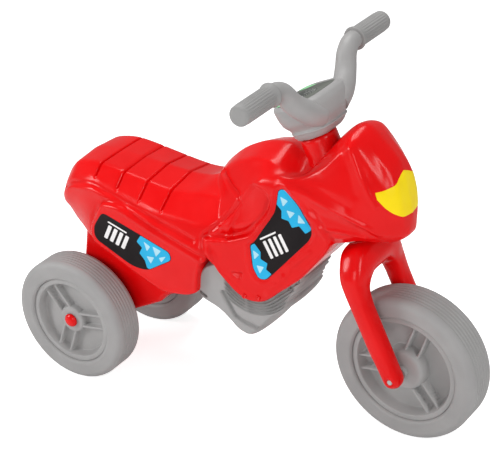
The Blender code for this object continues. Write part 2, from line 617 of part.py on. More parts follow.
# Steering: fork, stem, handlebar
LEG_INNER = 0.0345
LEG_OUTER = 0.0625
LEG_TIP_W = -0.0130
ARCH_TOP_W = 0.1400
FORK_FRONT = [(-0.02, 0.0115), (0.02, 0.0115), (0.10, 0.0115), (0.13, 0.0150), (0.15, 0.0220),
              (0.17, 0.0270), (0.20, 0.0290)]
FORK_BACK = [(-0.02, 0.0115), (0.02, 0.0135), (0.05, 0.0160), (0.14, 0.0165), (0.16, 0.0145), (0.20, 0.0135)]
FORK_DRAWN_DEPTH = 0.0140             # before the legs take their own depth at each height
CROWN_SIDE = 0.0400                   # half width of the crown where it meets the body
SHOULDER_W = 0.1520
FORK_OUTLINE = [(-LEG_OUTER, LEG_TIP_W, 0.012), (-LEG_OUTER, SHOULDER_W, 0.004),
                (-CROWN_SIDE - 0.004, SHOULDER_W + 0.016, 0.006), (-CROWN_SIDE, CROWN_TOP_W, 0.003),
                (CROWN_SIDE, CROWN_TOP_W, 0.003), (CROWN_SIDE + 0.004, SHOULDER_W + 0.016, 0.006),
                (LEG_OUTER, SHOULDER_W, 0.004), (LEG_OUTER, LEG_TIP_W, 0.012), (LEG_INNER, LEG_TIP_W, 0.012),
                (LEG_INNER, ARCH_TOP_W, 0.020), (-LEG_INNER, ARCH_TOP_W, 0.020), (-LEG_INNER, LEG_TIP_W, 0.012)]


def fork():
    """Two legs, crown and stem in one moulding."""
    outline = rounded_outline(FORK_OUTLINE)
    depth = FORK_DRAWN_DEPTH
    legs = prism([(-depth, y, w) for y, w in outline], [(depth, y, w) for y, w in outline])
    legs = bevelled(legs, 0.0060, 3, 60.0)
    for vertex in legs.data.vertices:
        depth = through(FORK_FRONT if vertex.co.x > 0 else FORK_BACK, np.array([vertex.co.z]))[0]
        vertex.co.x *= depth / FORK_DRAWN_DEPTH
    stem = turned([(0, SPIGOT_TOP_W), (STEM_RADIUS - 0.001, SPIGOT_TOP_W), (STEM_RADIUS, SPIGOT_TOP_W - 0.001),
                   (STEM_RADIUS, CROWN_TOP_W - 0.010), (0, CROWN_TOP_W - 0.010)], 32)
    whole = moved(joined(legs, stem), STEER_FRAME)
    pilot = tunnel(SCREW_RADIUS + GAP, SCREW_SEAT_W - SCREW_LONG - 0.002, POD_TOP_W, 16)
    axle_hole = across(drum(AXLE_RADIUS + GAP, -CLEAR_SIDE, CLEAR_SIDE), WHEELBASE, FRONT_RADIUS)
    return finished("fork", cut(whole, axle_hole, pilot), RED, FRONT_CENTRE)


SCREW_RADIUS = 0.0025
SCREW_HEAD_RADIUS = 0.0055
SCREW_LONG = 0.0300
# Height above the pod's foot, back, front and half width
POD_SECTIONS = [(0, -0.018, 0.026, 0.026), (0.0096, -0.022, 0.040, 0.034), (0.0256, -0.026, 0.047, 0.041),
                (0.0396, -0.026, 0.047, 0.041), (0.0496, -0.026, 0.042, 0.034), (POD_TALL, -0.026, 0.038, 0.031)]
DASH = [(-0.0220, -0.0260, 0.008), (0.0320, -0.0230, 0.008), (0.0320, 0.0230, 0.008),
        (-0.0220, 0.0260, 0.008)]
BAR_U = 0.036
BAR_RISE = 0.0836                     # grips above the pod's foot
BAR_W = POD_LOW_W + BAR_RISE
# Forward, outward and height above the pod's foot
BAR_PATH = [(0.030, 0.030, 0.0300), (0.033, 0.046, 0.0410), (0.0325, 0.058, 0.0516), (0.033, 0.066, 0.0611),
            (0.0345, 0.0725, 0.0716), (0.036, 0.080, 0.0790), (BAR_U, 0.0870, 0.0825), (BAR_U, 0.0925, BAR_RISE),
            (BAR_U, 0.0965, BAR_RISE), (BAR_U, 0.0975, BAR_RISE)]
BAR_RADIUS = [0.0165, 0.0158, 0.0150, 0.0142, 0.0134, 0.0128, 0.0123, 0.0120, 0.0120, 0.0102]
GRIP_INNER = 0.0102
GRIP_START = 0.0985
GRIP_END = 0.1715
GRIP_RADIUS = 0.0137


def swept(path, radii, facets=16):
    """Round bar along a path, closed at both ends."""
    places = [Vector(point) for point in path]
    rings = []
    for index, (place, radius) in enumerate(zip(places, radii)):
        before = places[max(index - 1, 0)]
        after = places[min(index + 1, len(places) - 1)]
        heading = (after - before).normalized()
        across_way = heading.cross(Vector((0, 0, 1))).normalized()
        up_way = across_way.cross(heading)
        turns = [math.tau * step / facets for step in range(facets)]
        rings.append([place + radius * (math.cos(turn) * across_way + math.sin(turn) * up_way)
                      for turn in turns])
    return skinned(rings)


def stacked(sections, corner):
    """Rounded rectangles at rising heights, joined into one solid."""
    rings = []
    for high, back, front, half in sections:
        ring = [(back, -half, corner), (front, -half, corner), (front, half, corner), (back, half, corner)]
        rings.append([(point.x, point.y, high) for point in rounded_outline(ring)])
    return skinned(rings)


def handlebar():
    """Pod and both bars in one moulding."""
    path = [(u, -y, POD_LOW_W + rise) for u, y, rise in BAR_PATH] + [(BAR_U, -(GRIP_END - 0.0025), BAR_W)]
    right = swept(path, BAR_RADIUS + [GRIP_INNER])
    left = mirrored_copy(right)
    pod = stacked([(POD_LOW_W + rise, back, front, half) for rise, back, front, half in POD_SECTIONS], 0.016)
    whole = joined(pod, right, left)
    below, above = POD_LOW_W - 0.01, POD_TOP_W + 0.01
    socket = drum(STEM_RADIUS + GAP, below, SPIGOT_TOP_W + GAP, 32)
    screw_hole = drum(SCREW_RADIUS + GAP, below, above, 16)
    head_hole = drum(SCREW_HEAD_RADIUS + GAP, SCREW_SEAT_W, above, 16)
    pocket = plate(rounded_outline(grown(DASH, POCKET_ROOM)), POD_TOP_W - POCKET_DEEP, above)
    whole = cut(whole, socket, screw_hole, head_hole, pocket)
    return finished("handlebar", moved(whole, STEER_FRAME), GREY, FRONT_CENTRE)


def dash_decal():
    low = POD_TOP_W - POCKET_DEEP + GAP
    decal = plate(rounded_outline(DASH), low, low + STICKER_THICK)
    return finished("dash_decal", moved(decal, STEER_FRAME), DASH_DARK, FRONT_CENTRE)


def grips():
    """Soft sleeves with a closed end and a flange towards the rider's thumb."""
    inner = GRIP_INNER + GAP
    profile = [(0, GRIP_END), (GRIP_RADIUS - 0.002, GRIP_END), (GRIP_RADIUS, GRIP_END - 0.002),
               (GRIP_RADIUS, GRIP_START + 0.007), (0.0165, GRIP_START + 0.005), (0.0165, GRIP_START + 0.001),
               (0.0155, GRIP_START), (inner, GRIP_START),
               (inner, GRIP_END - 0.0022), (0, GRIP_END - 0.0022)]
    right = moved(turned(profile, 24), ALONG_Y)
    right = moved(right, STEER_FRAME @ Matrix.Translation((BAR_U, 0, BAR_W)))
    left = mirrored_copy(right)
    finished("grip_right", right, GRIP_GREY, FRONT_CENTRE)
    finished("grip_left", left, GRIP_GREY, FRONT_CENTRE)


def steering_bushes():
    """White bearings of the stem, one at each end of the neck."""
    inner = STEM_RADIUS + RUN
    flange = NECK_RADIUS - 0.0035
    low = UNDERSIDE_W - GAP - BUSH_FLANGE
    lower = turned([(inner, UNDERSIDE_W + BUSH_LONG - GAP), (BUSH_OUTER, UNDERSIDE_W + BUSH_LONG - GAP),
                    (BUSH_OUTER, UNDERSIDE_W - GAP), (flange, UNDERSIDE_W - GAP), (flange, low), (inner, low),
                    (inner, UNDERSIDE_W + BUSH_LONG - GAP)], 32)
    finished("lower_steering_bush", moved(lower, STEER_FRAME), BUSH_WHITE)
    top = NECK_TOP_W + GAP + BUSH_FLANGE
    foot = NECK_TOP_W - BUSH_LONG + GAP
    upper = turned([(inner, top), (flange, top), (flange, NECK_TOP_W + GAP), (BUSH_OUTER, NECK_TOP_W + GAP),
                    (BUSH_OUTER, foot), (inner, foot), (inner, top)], 32)
    finished("upper_steering_bush", moved(upper, STEER_FRAME), BUSH_WHITE)


def stem_screw():
    """Screw under the dash decal, holding the handlebar down on the stem."""
    seat = SCREW_SEAT_W + GAP
    tip = seat - SCREW_LONG
    screw = turned([(0, seat + 0.0035), (SCREW_HEAD_RADIUS - 0.001, seat + 0.0035),
                    (SCREW_HEAD_RADIUS, seat + 0.002), (SCREW_HEAD_RADIUS, seat), (SCREW_RADIUS, seat),
                    (SCREW_RADIUS, tip + 0.002), (0, tip)], 16)
    return finished("stem_screw", moved(screw, STEER_FRAME), STEEL, FRONT_CENTRE)


# Wheels
REAR_HUB_FACE = 0.0180                # hub faces, from the wheel's mid-plane
FRONT_HUB_FACE = 0.0270
REAR_SEAT = 0.0655                    # radius where the tyre sits on the rim
FRONT_SEAT = 0.0770
LIP_INSET = 0.0040                    # rim lip, in from the tyre's side
WEB_FACE = 0.0080
RIB_THICK = 0.0040
RIB_OFFSET = 0.0100
REAR_HUB_RADIUS = 0.0200
FRONT_HUB_RADIUS = 0.0300
REAR_FIRST_PAIR = 8.0                 # degrees above the wheel's forward side, as the photo shows it
FRONT_FIRST_PAIR = 67.0


def rim(seat, width, hub_radius, hub_face, first_pair):
    """Rim about +Z: hub, disc, lip, and three pairs of parallel ribs."""
    bore = AXLE_RADIUS + RUN
    lip = width / 2 - LIP_INSET
    outer = seat - GAP
    half = [(bore, hub_face), (hub_radius, hub_face), (hub_radius + 0.003, WEB_FACE), (seat - 0.013, WEB_FACE),
            (seat - 0.006, lip), (outer, lip)]
    profile = half + [(radius, -high) for radius, high in reversed(half)] + [half[0]]
    piece = turned(profile)
    ribs = []
    for turn in range(3):
        for side in (-1, 1):
            middle = side * RIB_OFFSET
            start = math.sqrt(max((hub_radius - 0.001) ** 2 - middle ** 2, 0.0001))
            corners = [(start, middle - RIB_THICK / 2), (seat - 0.007, middle - RIB_THICK / 2),
                       (seat - 0.007, middle + RIB_THICK / 2), (start, middle + RIB_THICK / 2)]
            bar = plate(corners, -lip + 0.004, lip - 0.004)
            ribs.append(moved(bar, Matrix.Rotation(math.radians(first_pair + 120 * turn), 4, "Z")))
    return joined(piece, *ribs)


def tyre(seat, radius, width, shoulder):
    """Tyre ring about +Z with a rounded tread."""
    half = [(seat, width / 2 - 0.0025), (seat + 0.003, width / 2), (radius - shoulder, width / 2),
            (radius - 0.35 * shoulder, width / 2 - 0.30 * shoulder), (radius - 0.0005, width / 2 - shoulder),
            (radius, 0)]
    profile = half + [(place, -high) for place, high in reversed(half[:-1])] + [half[0]]
    return turned(profile)


def wheels():
    front = Vector((REAR_X + WHEELBASE, 0, FRONT_RADIUS))
    piece = rim(FRONT_SEAT, FRONT_WIDTH, FRONT_HUB_RADIUS, FRONT_HUB_FACE, FRONT_FIRST_PAIR)
    finished("front_rim", across(piece, WHEELBASE, FRONT_RADIUS), GREY, front)
    piece = tyre(FRONT_SEAT, FRONT_RADIUS, FRONT_WIDTH, 0.010)
    finished("front_tyre", across(piece, WHEELBASE, FRONT_RADIUS), TYRE_GREY, front)
    outward = Matrix.Translation((0, 0, REAR_MIDPLANE))
    piece = rim(REAR_SEAT, REAR_WIDTH, REAR_HUB_RADIUS, REAR_HUB_FACE, REAR_FIRST_PAIR)
    rear_rim = across(moved(piece, outward), 0, REAR_RADIUS)
    rear_tyre = across(moved(tyre(REAR_SEAT, REAR_RADIUS, REAR_WIDTH, 0.009), outward), 0, REAR_RADIUS)
    for name, right, look in (("rear_rim_", rear_rim, GREY), ("rear_tyre_", rear_tyre, TYRE_GREY)):
        left = mirrored_copy(right)
        finished(name + "right", right, look, (REAR_X, -REAR_MIDPLANE, REAR_RADIUS))
        finished(name + "left", left, look, (REAR_X, REAR_MIDPLANE, REAR_RADIUS))


# Axles and what keeps the wheels in place on them
AXLE_CHAMFER = 0.0006
REAR_AXLE_END = REAR_MIDPLANE + REAR_HUB_FACE + RUN + 0.0037
FRONT_AXLE_END = 0.0600
SPACER_RADIUS = 0.0090
CAP_RADIUS = 0.0100


def axle(name, end, centre_x, centre_z):
    profile = [(0, end), (AXLE_RADIUS - AXLE_CHAMFER, end), (AXLE_RADIUS, end - AXLE_CHAMFER),
               (AXLE_RADIUS, AXLE_CHAMFER - end), (AXLE_RADIUS - AXLE_CHAMFER, -end), (0, -end)]
    rod = across(turned(profile, SMALL_FACETS), centre_x, centre_z)
    return finished(name, rod, STEEL, (REAR_X + centre_x, 0, centre_z))


def spacers(name, low, high, centre_x, centre_z):
    """Tubes on the axle, one on each side, between the named distances from the centre line."""
    right = across(sleeve(AXLE_RADIUS + GAP, SPACER_RADIUS, low, high), centre_x, centre_z)
    left = mirrored_copy(right)
    finished(name + "right", right, GREY, (REAR_X + centre_x, 0, centre_z))
    finished(name + "left", left, GREY, (REAR_X + centre_x, 0, centre_z))


def rear_caps():
    """Domed red caps pushed onto the ends of the rear axle."""
    base = REAR_MIDPLANE + REAR_HUB_FACE + RUN
    bore = AXLE_RADIUS + GAP
    profile = [(0, base + 0.0068), (0.005, base + 0.0062), (0.0085, base + 0.0042), (CAP_RADIUS, base + 0.0016),
               (CAP_RADIUS, base), (bore, base), (bore, REAR_AXLE_END + GAP), (0, REAR_AXLE_END + GAP)]
    right = across(turned(profile, SMALL_FACETS), 0, REAR_RADIUS)
    left = mirrored_copy(right)
    finished("rear_cap_right", right, RED, (REAR_X, 0, REAR_RADIUS))
    finished("rear_cap_left", left, RED, (REAR_X, 0, REAR_RADIUS))


body_shell()
engine_block()
belly_plugs()
side_decals()
headlight_decal()
fork()
handlebar()
dash_decal()
grips()
steering_bushes()
stem_screw()
wheels()
axle("front_axle", FRONT_AXLE_END, WHEELBASE, FRONT_RADIUS)
axle("rear_axle", REAR_AXLE_END, 0, REAR_RADIUS)
spacers("front_spacer_", FRONT_HUB_FACE + RUN, LEG_INNER - GAP, WHEELBASE, FRONT_RADIUS)
spacers("rear_spacer_", AXLE_BOX_SIDE + GAP, REAR_MIDPLANE - REAR_HUB_FACE - RUN, 0, REAR_RADIUS)
rear_caps()
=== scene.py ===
# %% [markdown]
# # Kids ride-on motorcycle
# The real toy is a blow-moulded red body on three hard plastic wheels, with a grey handlebar that turns the
# fork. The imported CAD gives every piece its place. Each cell below builds one piece's finished surface over
# it, as a function of two parameters, and the last cells give it plastic, light and a camera.

import json
import math

import bpy
import numpy as np
from mathutils import Matrix, Vector

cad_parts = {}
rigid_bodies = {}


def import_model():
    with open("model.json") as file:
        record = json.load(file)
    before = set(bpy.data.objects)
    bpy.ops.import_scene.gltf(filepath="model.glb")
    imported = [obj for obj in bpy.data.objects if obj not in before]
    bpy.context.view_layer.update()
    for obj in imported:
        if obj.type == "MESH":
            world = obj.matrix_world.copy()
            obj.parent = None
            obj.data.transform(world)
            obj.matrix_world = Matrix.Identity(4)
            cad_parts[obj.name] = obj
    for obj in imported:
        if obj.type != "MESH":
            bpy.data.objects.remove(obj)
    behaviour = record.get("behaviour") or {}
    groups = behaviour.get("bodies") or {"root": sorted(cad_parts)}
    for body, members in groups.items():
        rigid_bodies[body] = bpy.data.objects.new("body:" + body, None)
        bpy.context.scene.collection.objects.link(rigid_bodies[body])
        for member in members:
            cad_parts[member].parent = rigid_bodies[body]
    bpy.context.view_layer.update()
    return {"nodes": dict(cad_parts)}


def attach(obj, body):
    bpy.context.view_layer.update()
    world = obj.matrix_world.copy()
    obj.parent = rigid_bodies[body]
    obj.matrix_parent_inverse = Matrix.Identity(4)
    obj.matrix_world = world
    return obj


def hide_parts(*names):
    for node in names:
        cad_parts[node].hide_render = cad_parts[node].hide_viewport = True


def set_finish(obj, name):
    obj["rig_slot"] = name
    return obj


for old in list(bpy.data.objects):
    bpy.data.objects.remove(old, do_unlink=True)
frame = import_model()
print("pieces in the frame:", len(frame["nodes"]))

# %% [markdown]
# ## Sizes that the pieces share
# Three frames are enough. The body is drawn level and then leans nose-down about the front axle.
# The fork, bars and pod are drawn upright and then lean back by the rake of the steering axis.
# Each rear wheel stands in its own mid-plane.

# %% Sizes and frames
WHEELBASE = 0.4935
REAR_RADIUS = 0.0925
FRONT_RADIUS = 0.1050
REAR_X = (REAR_RADIUS - WHEELBASE - FRONT_RADIUS) / 2
REAR_MIDPLANE = 0.0898                # rear wheel's middle, from the centre line
BODY_FRONT_X = 0.455                  # front axle in the body's own frame
PITCH = math.radians(4.45)            # how far the body leans nose-down
RAKE = math.radians(22.55)            # how far the steering axis leans back
FRONT_CENTRE = Vector((REAR_X + WHEELBASE, 0, FRONT_RADIUS))

BODY = (Matrix.Translation(FRONT_CENTRE) @ Matrix.Rotation(PITCH, 4, "Y")
        @ Matrix.Translation((-BODY_FRONT_X, 0, -FRONT_RADIUS)))
STEERING = Matrix.Translation(FRONT_CENTRE) @ Matrix.Rotation(-RAKE, 4, "Y")
REAR_WHEELS = {side: Matrix.Translation((REAR_X, REAR_MIDPLANE * sign, REAR_RADIUS)) @ Matrix.Rotation(
    math.radians(-90 * sign), 4, "X") for side, sign in (("right", -1), ("left", 1))}
FRONT_WHEEL = Matrix.Translation(FRONT_CENTRE) @ Matrix.Rotation(math.radians(90), 4, "X")


# %% [markdown]
# ## Turning arrays into closed pieces
# Every piece is a stack of rings. A stack can end in two points, in two flat faces, or run back into itself.
# The signed volume tells whether the faces look outward, and they are flipped if they don't.

# %% Mesh makers
def placed(points, frame_matrix):
    """p' = R p + t for a whole array of points."""
    matrix = np.array(frame_matrix)
    return points @ matrix[:3, :3].T + matrix[:3, 3]


def ring_quads(rows, columns, closed_rows=False):
    """Quads (i, j), (i, j+1), (i+1, j+1), (i+1, j), with the columns running round."""
    last = rows if closed_rows else rows - 1
    i, j = np.meshgrid(np.arange(last), np.arange(columns), indexing="ij")
    after_i, after_j = (i + 1) % rows, (j + 1) % columns
    corners = [i * columns + j, i * columns + after_j, after_i * columns + after_j, after_i * columns + j]
    return np.stack(corners, axis=-1).reshape(-1, 4)


def signed_volume(points, faces):
    """One sixth of the sum of a . (b x c) over the fan of each face."""
    total = 0.0
    for face in (faces if isinstance(faces, list) else [faces]):
        first = points[face[:, 0]]
        for k in range(1, face.shape[1] - 1):
            total += np.einsum("ij,ij->", first, np.cross(points[face[:, k]], points[face[:, k + 1]]))
    return total / 6


def mesh_object(name, points, faces, frame_matrix=None, smooth=True):
    """Object from an (n, 3) array and a list of face arrays, turned outward and put in its frame."""
    if frame_matrix is not None:
        points = placed(points, frame_matrix)
    if signed_volume(points - points.mean(axis=0), faces) < 0:
        faces = [face[:, ::-1] for face in faces]
    mesh = bpy.data.meshes.new(name)
    mesh.from_pydata(points.tolist(), [], [row for face in faces for row in face.tolist()])
    corners = np.empty(len(mesh.polygons), dtype=np.int32)
    mesh.polygons.foreach_get("loop_total", corners)
    mesh.polygons.foreach_set("use_smooth", (corners <= 4) & smooth)
    mesh.update()
    made = bpy.data.objects.new(name, mesh)
    bpy.context.scene.collection.objects.link(made)
    print(name, len(mesh.polygons), "faces")
    return made


def ended(rings, start, end):
    """Points and faces of a stack of rings that closes in a point at both ends."""
    rows, columns = rings.shape[:2]
    points = np.vstack([rings.reshape(-1, 3), start, end])
    near = np.arange(columns)
    far = near + (rows - 1) * columns
    first = np.stack([np.full(columns, rows * columns), np.roll(near, -1), near], axis=-1)
    last = np.stack([np.full(columns, rows * columns + 1), far, np.roll(far, -1)], axis=-1)
    return points, [ring_quads(rows, columns), first, last]


def faced(rings):
    """Points and faces of a stack of rings that closes in a flat face at both ends."""
    rows, columns = rings.shape[:2]
    low = np.arange(columns)[::-1][None]
    high = (np.arange(columns) + (rows - 1) * columns)[None]
    return rings.reshape(-1, 3), [ring_quads(rows, columns), low, high]


def looped(rings):
    """Points and faces of a stack of rings that runs back into itself."""
    rows, columns = rings.shape[:2]
    return rings.reshape(-1, 3), [ring_quads(rows, columns, closed_rows=True)]


def revolved(profile, around=96):
    """Rings (r cos a, r sin a, h) of a profile of (r, h) points."""
    angle = np.linspace(0, math.tau, around, endpoint=False)
    radius, height = np.array(profile, dtype=float).T
    return np.stack([radius[:, None] * np.cos(angle), radius[:, None] * np.sin(angle),
                     np.broadcast_to(height[:, None], (len(radius), around))], axis=-1)


# %% [markdown]
# ## Curves
# A moulded edge is a run of straight stretches joined by short bends. The same few curves draw every outline
# here: a smooth value through knots that never overshoots, a smooth step, and a corner rounded by a quadratic
# curve.

# %% Curves
def through(knots, at):
    """Cubic through (position, value) knots whose slope is the harmonic mean of its neighbours'."""
    place, value = np.array(knots, dtype=float).T
    step = np.diff(place)
    slope = np.diff(value) / step
    tangent = np.zeros_like(value)
    tangent[0], tangent[-1] = slope[0], slope[-1]
    same_way = slope[:-1] * slope[1:] > 0
    both = np.where(same_way, slope[:-1] + slope[1:], 1.0)
    tangent[1:-1] = np.where(same_way, 2 * slope[:-1] * slope[1:] / both, 0.0)
    cell = np.clip(np.searchsorted(place, at) - 1, 0, len(place) - 2)
    t = (np.clip(at, place[0], place[-1]) - place[cell]) / step[cell]
    rise = value[cell + 1] - value[cell]
    start, end = tangent[cell] * step[cell], tangent[cell + 1] * step[cell]
    return value[cell] + t * start + t ** 2 * (3 * rise - 2 * start - end) + t ** 3 * (start + end - 2 * rise)


def smooth_step(value, low, high):
    """3t^2 - 2t^3, with t the place of the value between low and high."""
    t = np.clip((value - low) / (high - low), 0, 1)
    return t * t * (3 - 2 * t)


def rounded_outline(corners, steps=6):
    """Closed outline from (a, b, radius) corners: (1-t)^2 start + 2t(1-t) corner + t^2 end."""
    t = np.linspace(0, 1, steps + 1)[:, None]
    points = []
    for index, (a, b, radius) in enumerate(corners):
        corner = np.array((a, b))
        before = np.array(corners[index - 1][:2]) - corner
        after = np.array(corners[(index + 1) % len(corners)][:2]) - corner
        if radius == 0:
            points.append(corner[None])
            continue
        back, ahead = np.linalg.norm(before), np.linalg.norm(after)
        reach = min(radius, 0.48 * back, 0.48 * ahead)
        start, end = corner + before / back * reach, corner + after / ahead * reach
        points.append(start * (1 - t) ** 2 + corner * 2 * t * (1 - t) + end * t ** 2)
    return np.vstack(points)


def outward(outline):
    """Unit normals of a closed outline, square to the chord between the neighbours."""
    chord = np.roll(outline, -1, axis=0) - np.roll(outline, 1, axis=0)
    normal = np.stack([chord[:, 1], -chord[:, 0]], axis=-1)
    area = np.sum(outline[:, 0] * np.roll(outline[:, 1], -1) - outline[:, 1] * np.roll(outline[:, 0], -1))
    return normal / np.linalg.norm(normal, axis=1, keepdims=True) * (1 if area > 0 else -1)


def evenly(outline, spacing):
    """The same closed outline with points at equal steps along it."""
    closed = np.vstack([outline, outline[:1]])
    along = np.concatenate([[0], np.cumsum(np.linalg.norm(np.diff(closed, axis=0), axis=1))])
    at = np.linspace(0, along[-1], max(int(along[-1] / spacing), 8), endpoint=False)
    return np.stack([np.interp(at, along, closed[:, 0]), np.interp(at, along, closed[:, 1])], axis=-1)


def pillow(outline, low, high, rounding, steps=5):
    """Rings of a thick plate whose two rims are quarter circles: inset r(1 - cos t), height r sin t."""
    normal = outward(outline)
    turn = np.linspace(math.pi / 2, 0, steps + 1)
    rings = []
    for bound, way in ((low, 1), (high, -1)):
        for t in turn if way > 0 else turn[::-1]:
            flat = outline - normal * rounding * (1 - math.cos(t))
            level = bound(flat[:, 0], flat[:, 1]) + way * rounding * (1 - math.sin(t))
            rings.append(np.column_stack([flat, level]))
    return np.array(rings)


# %% [markdown]
# ## The body as a field
# The blow-moulded body is one hollow skin, so it is found as the edge of one solid field. Two runs of cross
# sections, one for seat and tail and one for tank and nose, are bounded by named character lines. Two raised
# plates are added, and the notch behind the belly and the front sticker's bed are taken away.
# A field makes the joins between them without any cutting of meshes.

# %% Character lines: (x, half width, height) in the body's own frame
SEAT_TOP = 0.287
REAR_LINES = {
    "centre of the seat": [
        (-0.093, 0, 0.216), (-0.087, 0, 0.244), (-0.0755, 0, 0.264), (-0.054, 0, 0.282),
        (-0.016, 0, SEAT_TOP), (0.103, 0, SEAT_TOP), (0.130, 0, 0.290), (0.156, 0, 0.300),
        (0.213, 0, 0.316)],
    "edge of the flat seat top": [
        (-0.093, 0.012, 0.214), (-0.087, 0.028, 0.239), (-0.0755, 0.038, 0.259), (-0.054, 0.045, 0.279),
        (-0.016, 0.047, 0.286), (0.103, 0.046, 0.279), (0.156, 0.043, 0.287), (0.195, 0.040, 0.290),
        (0.213, 0.034, 0.288)],
    "foot of the sloping seat side": [
        (-0.093, 0.018, 0.210), (-0.087, 0.039, 0.228), (-0.0755, 0.051, 0.244), (-0.054, 0.059, 0.262),
        (-0.016, 0.064, 0.270), (0.023, 0.0655, 0.265), (0.062, 0.0685, 0.260), (0.103, 0.0735, 0.256),
        (0.156, 0.074, 0.256), (0.195, 0.064, 0.262), (0.213, 0.052, 0.262)],
    "valley above the bead": [
        (-0.093, 0.020, 0.206), (-0.087, 0.043, 0.220), (-0.0755, 0.055, 0.235), (-0.054, 0.0625, 0.252),
        (-0.016, 0.068, 0.263), (0.023, 0.071, 0.257), (0.062, 0.074, 0.251), (0.103, 0.077, 0.244),
        (0.160, 0.079, 0.234), (0.213, 0.066, 0.225)],
    "crest of the bead": [
        (-0.093, 0.022, 0.203), (-0.087, 0.047, 0.214), (-0.0755, 0.060, 0.228), (-0.054, 0.068, 0.246),
        (-0.016, 0.074, 0.257), (0.023, 0.077, 0.251), (0.062, 0.080, 0.245), (0.103, 0.083, 0.238),
        (0.160, 0.084, 0.226), (0.213, 0.068, 0.215)],
    "foot of the bead": [
        (-0.093, 0.021, 0.199), (-0.087, 0.045, 0.204), (-0.0755, 0.057, 0.214), (-0.054, 0.065, 0.232),
        (-0.016, 0.072, 0.244), (0.062, 0.077, 0.231), (0.160, 0.081, 0.211), (0.213, 0.068, 0.200)],
    "lower side": [
        (-0.093, 0.016, 0.197), (-0.087, 0.032, 0.195), (-0.0755, 0.042, 0.189), (-0.054, 0.052, 0.181),
        (-0.016, 0.070, 0.176), (0.062, 0.073, 0.172), (0.160, 0.076, 0.172), (0.213, 0.066, 0.175)],
    "centre of the bottom": [
        (-0.093, 0, 0.192), (-0.087, 0, 0.186), (-0.0755, 0, 0.176), (-0.054, 0, 0.165), (-0.016, 0, 0.160),
        (0.160, 0, 0.160), (0.213, 0, 0.168)],
}
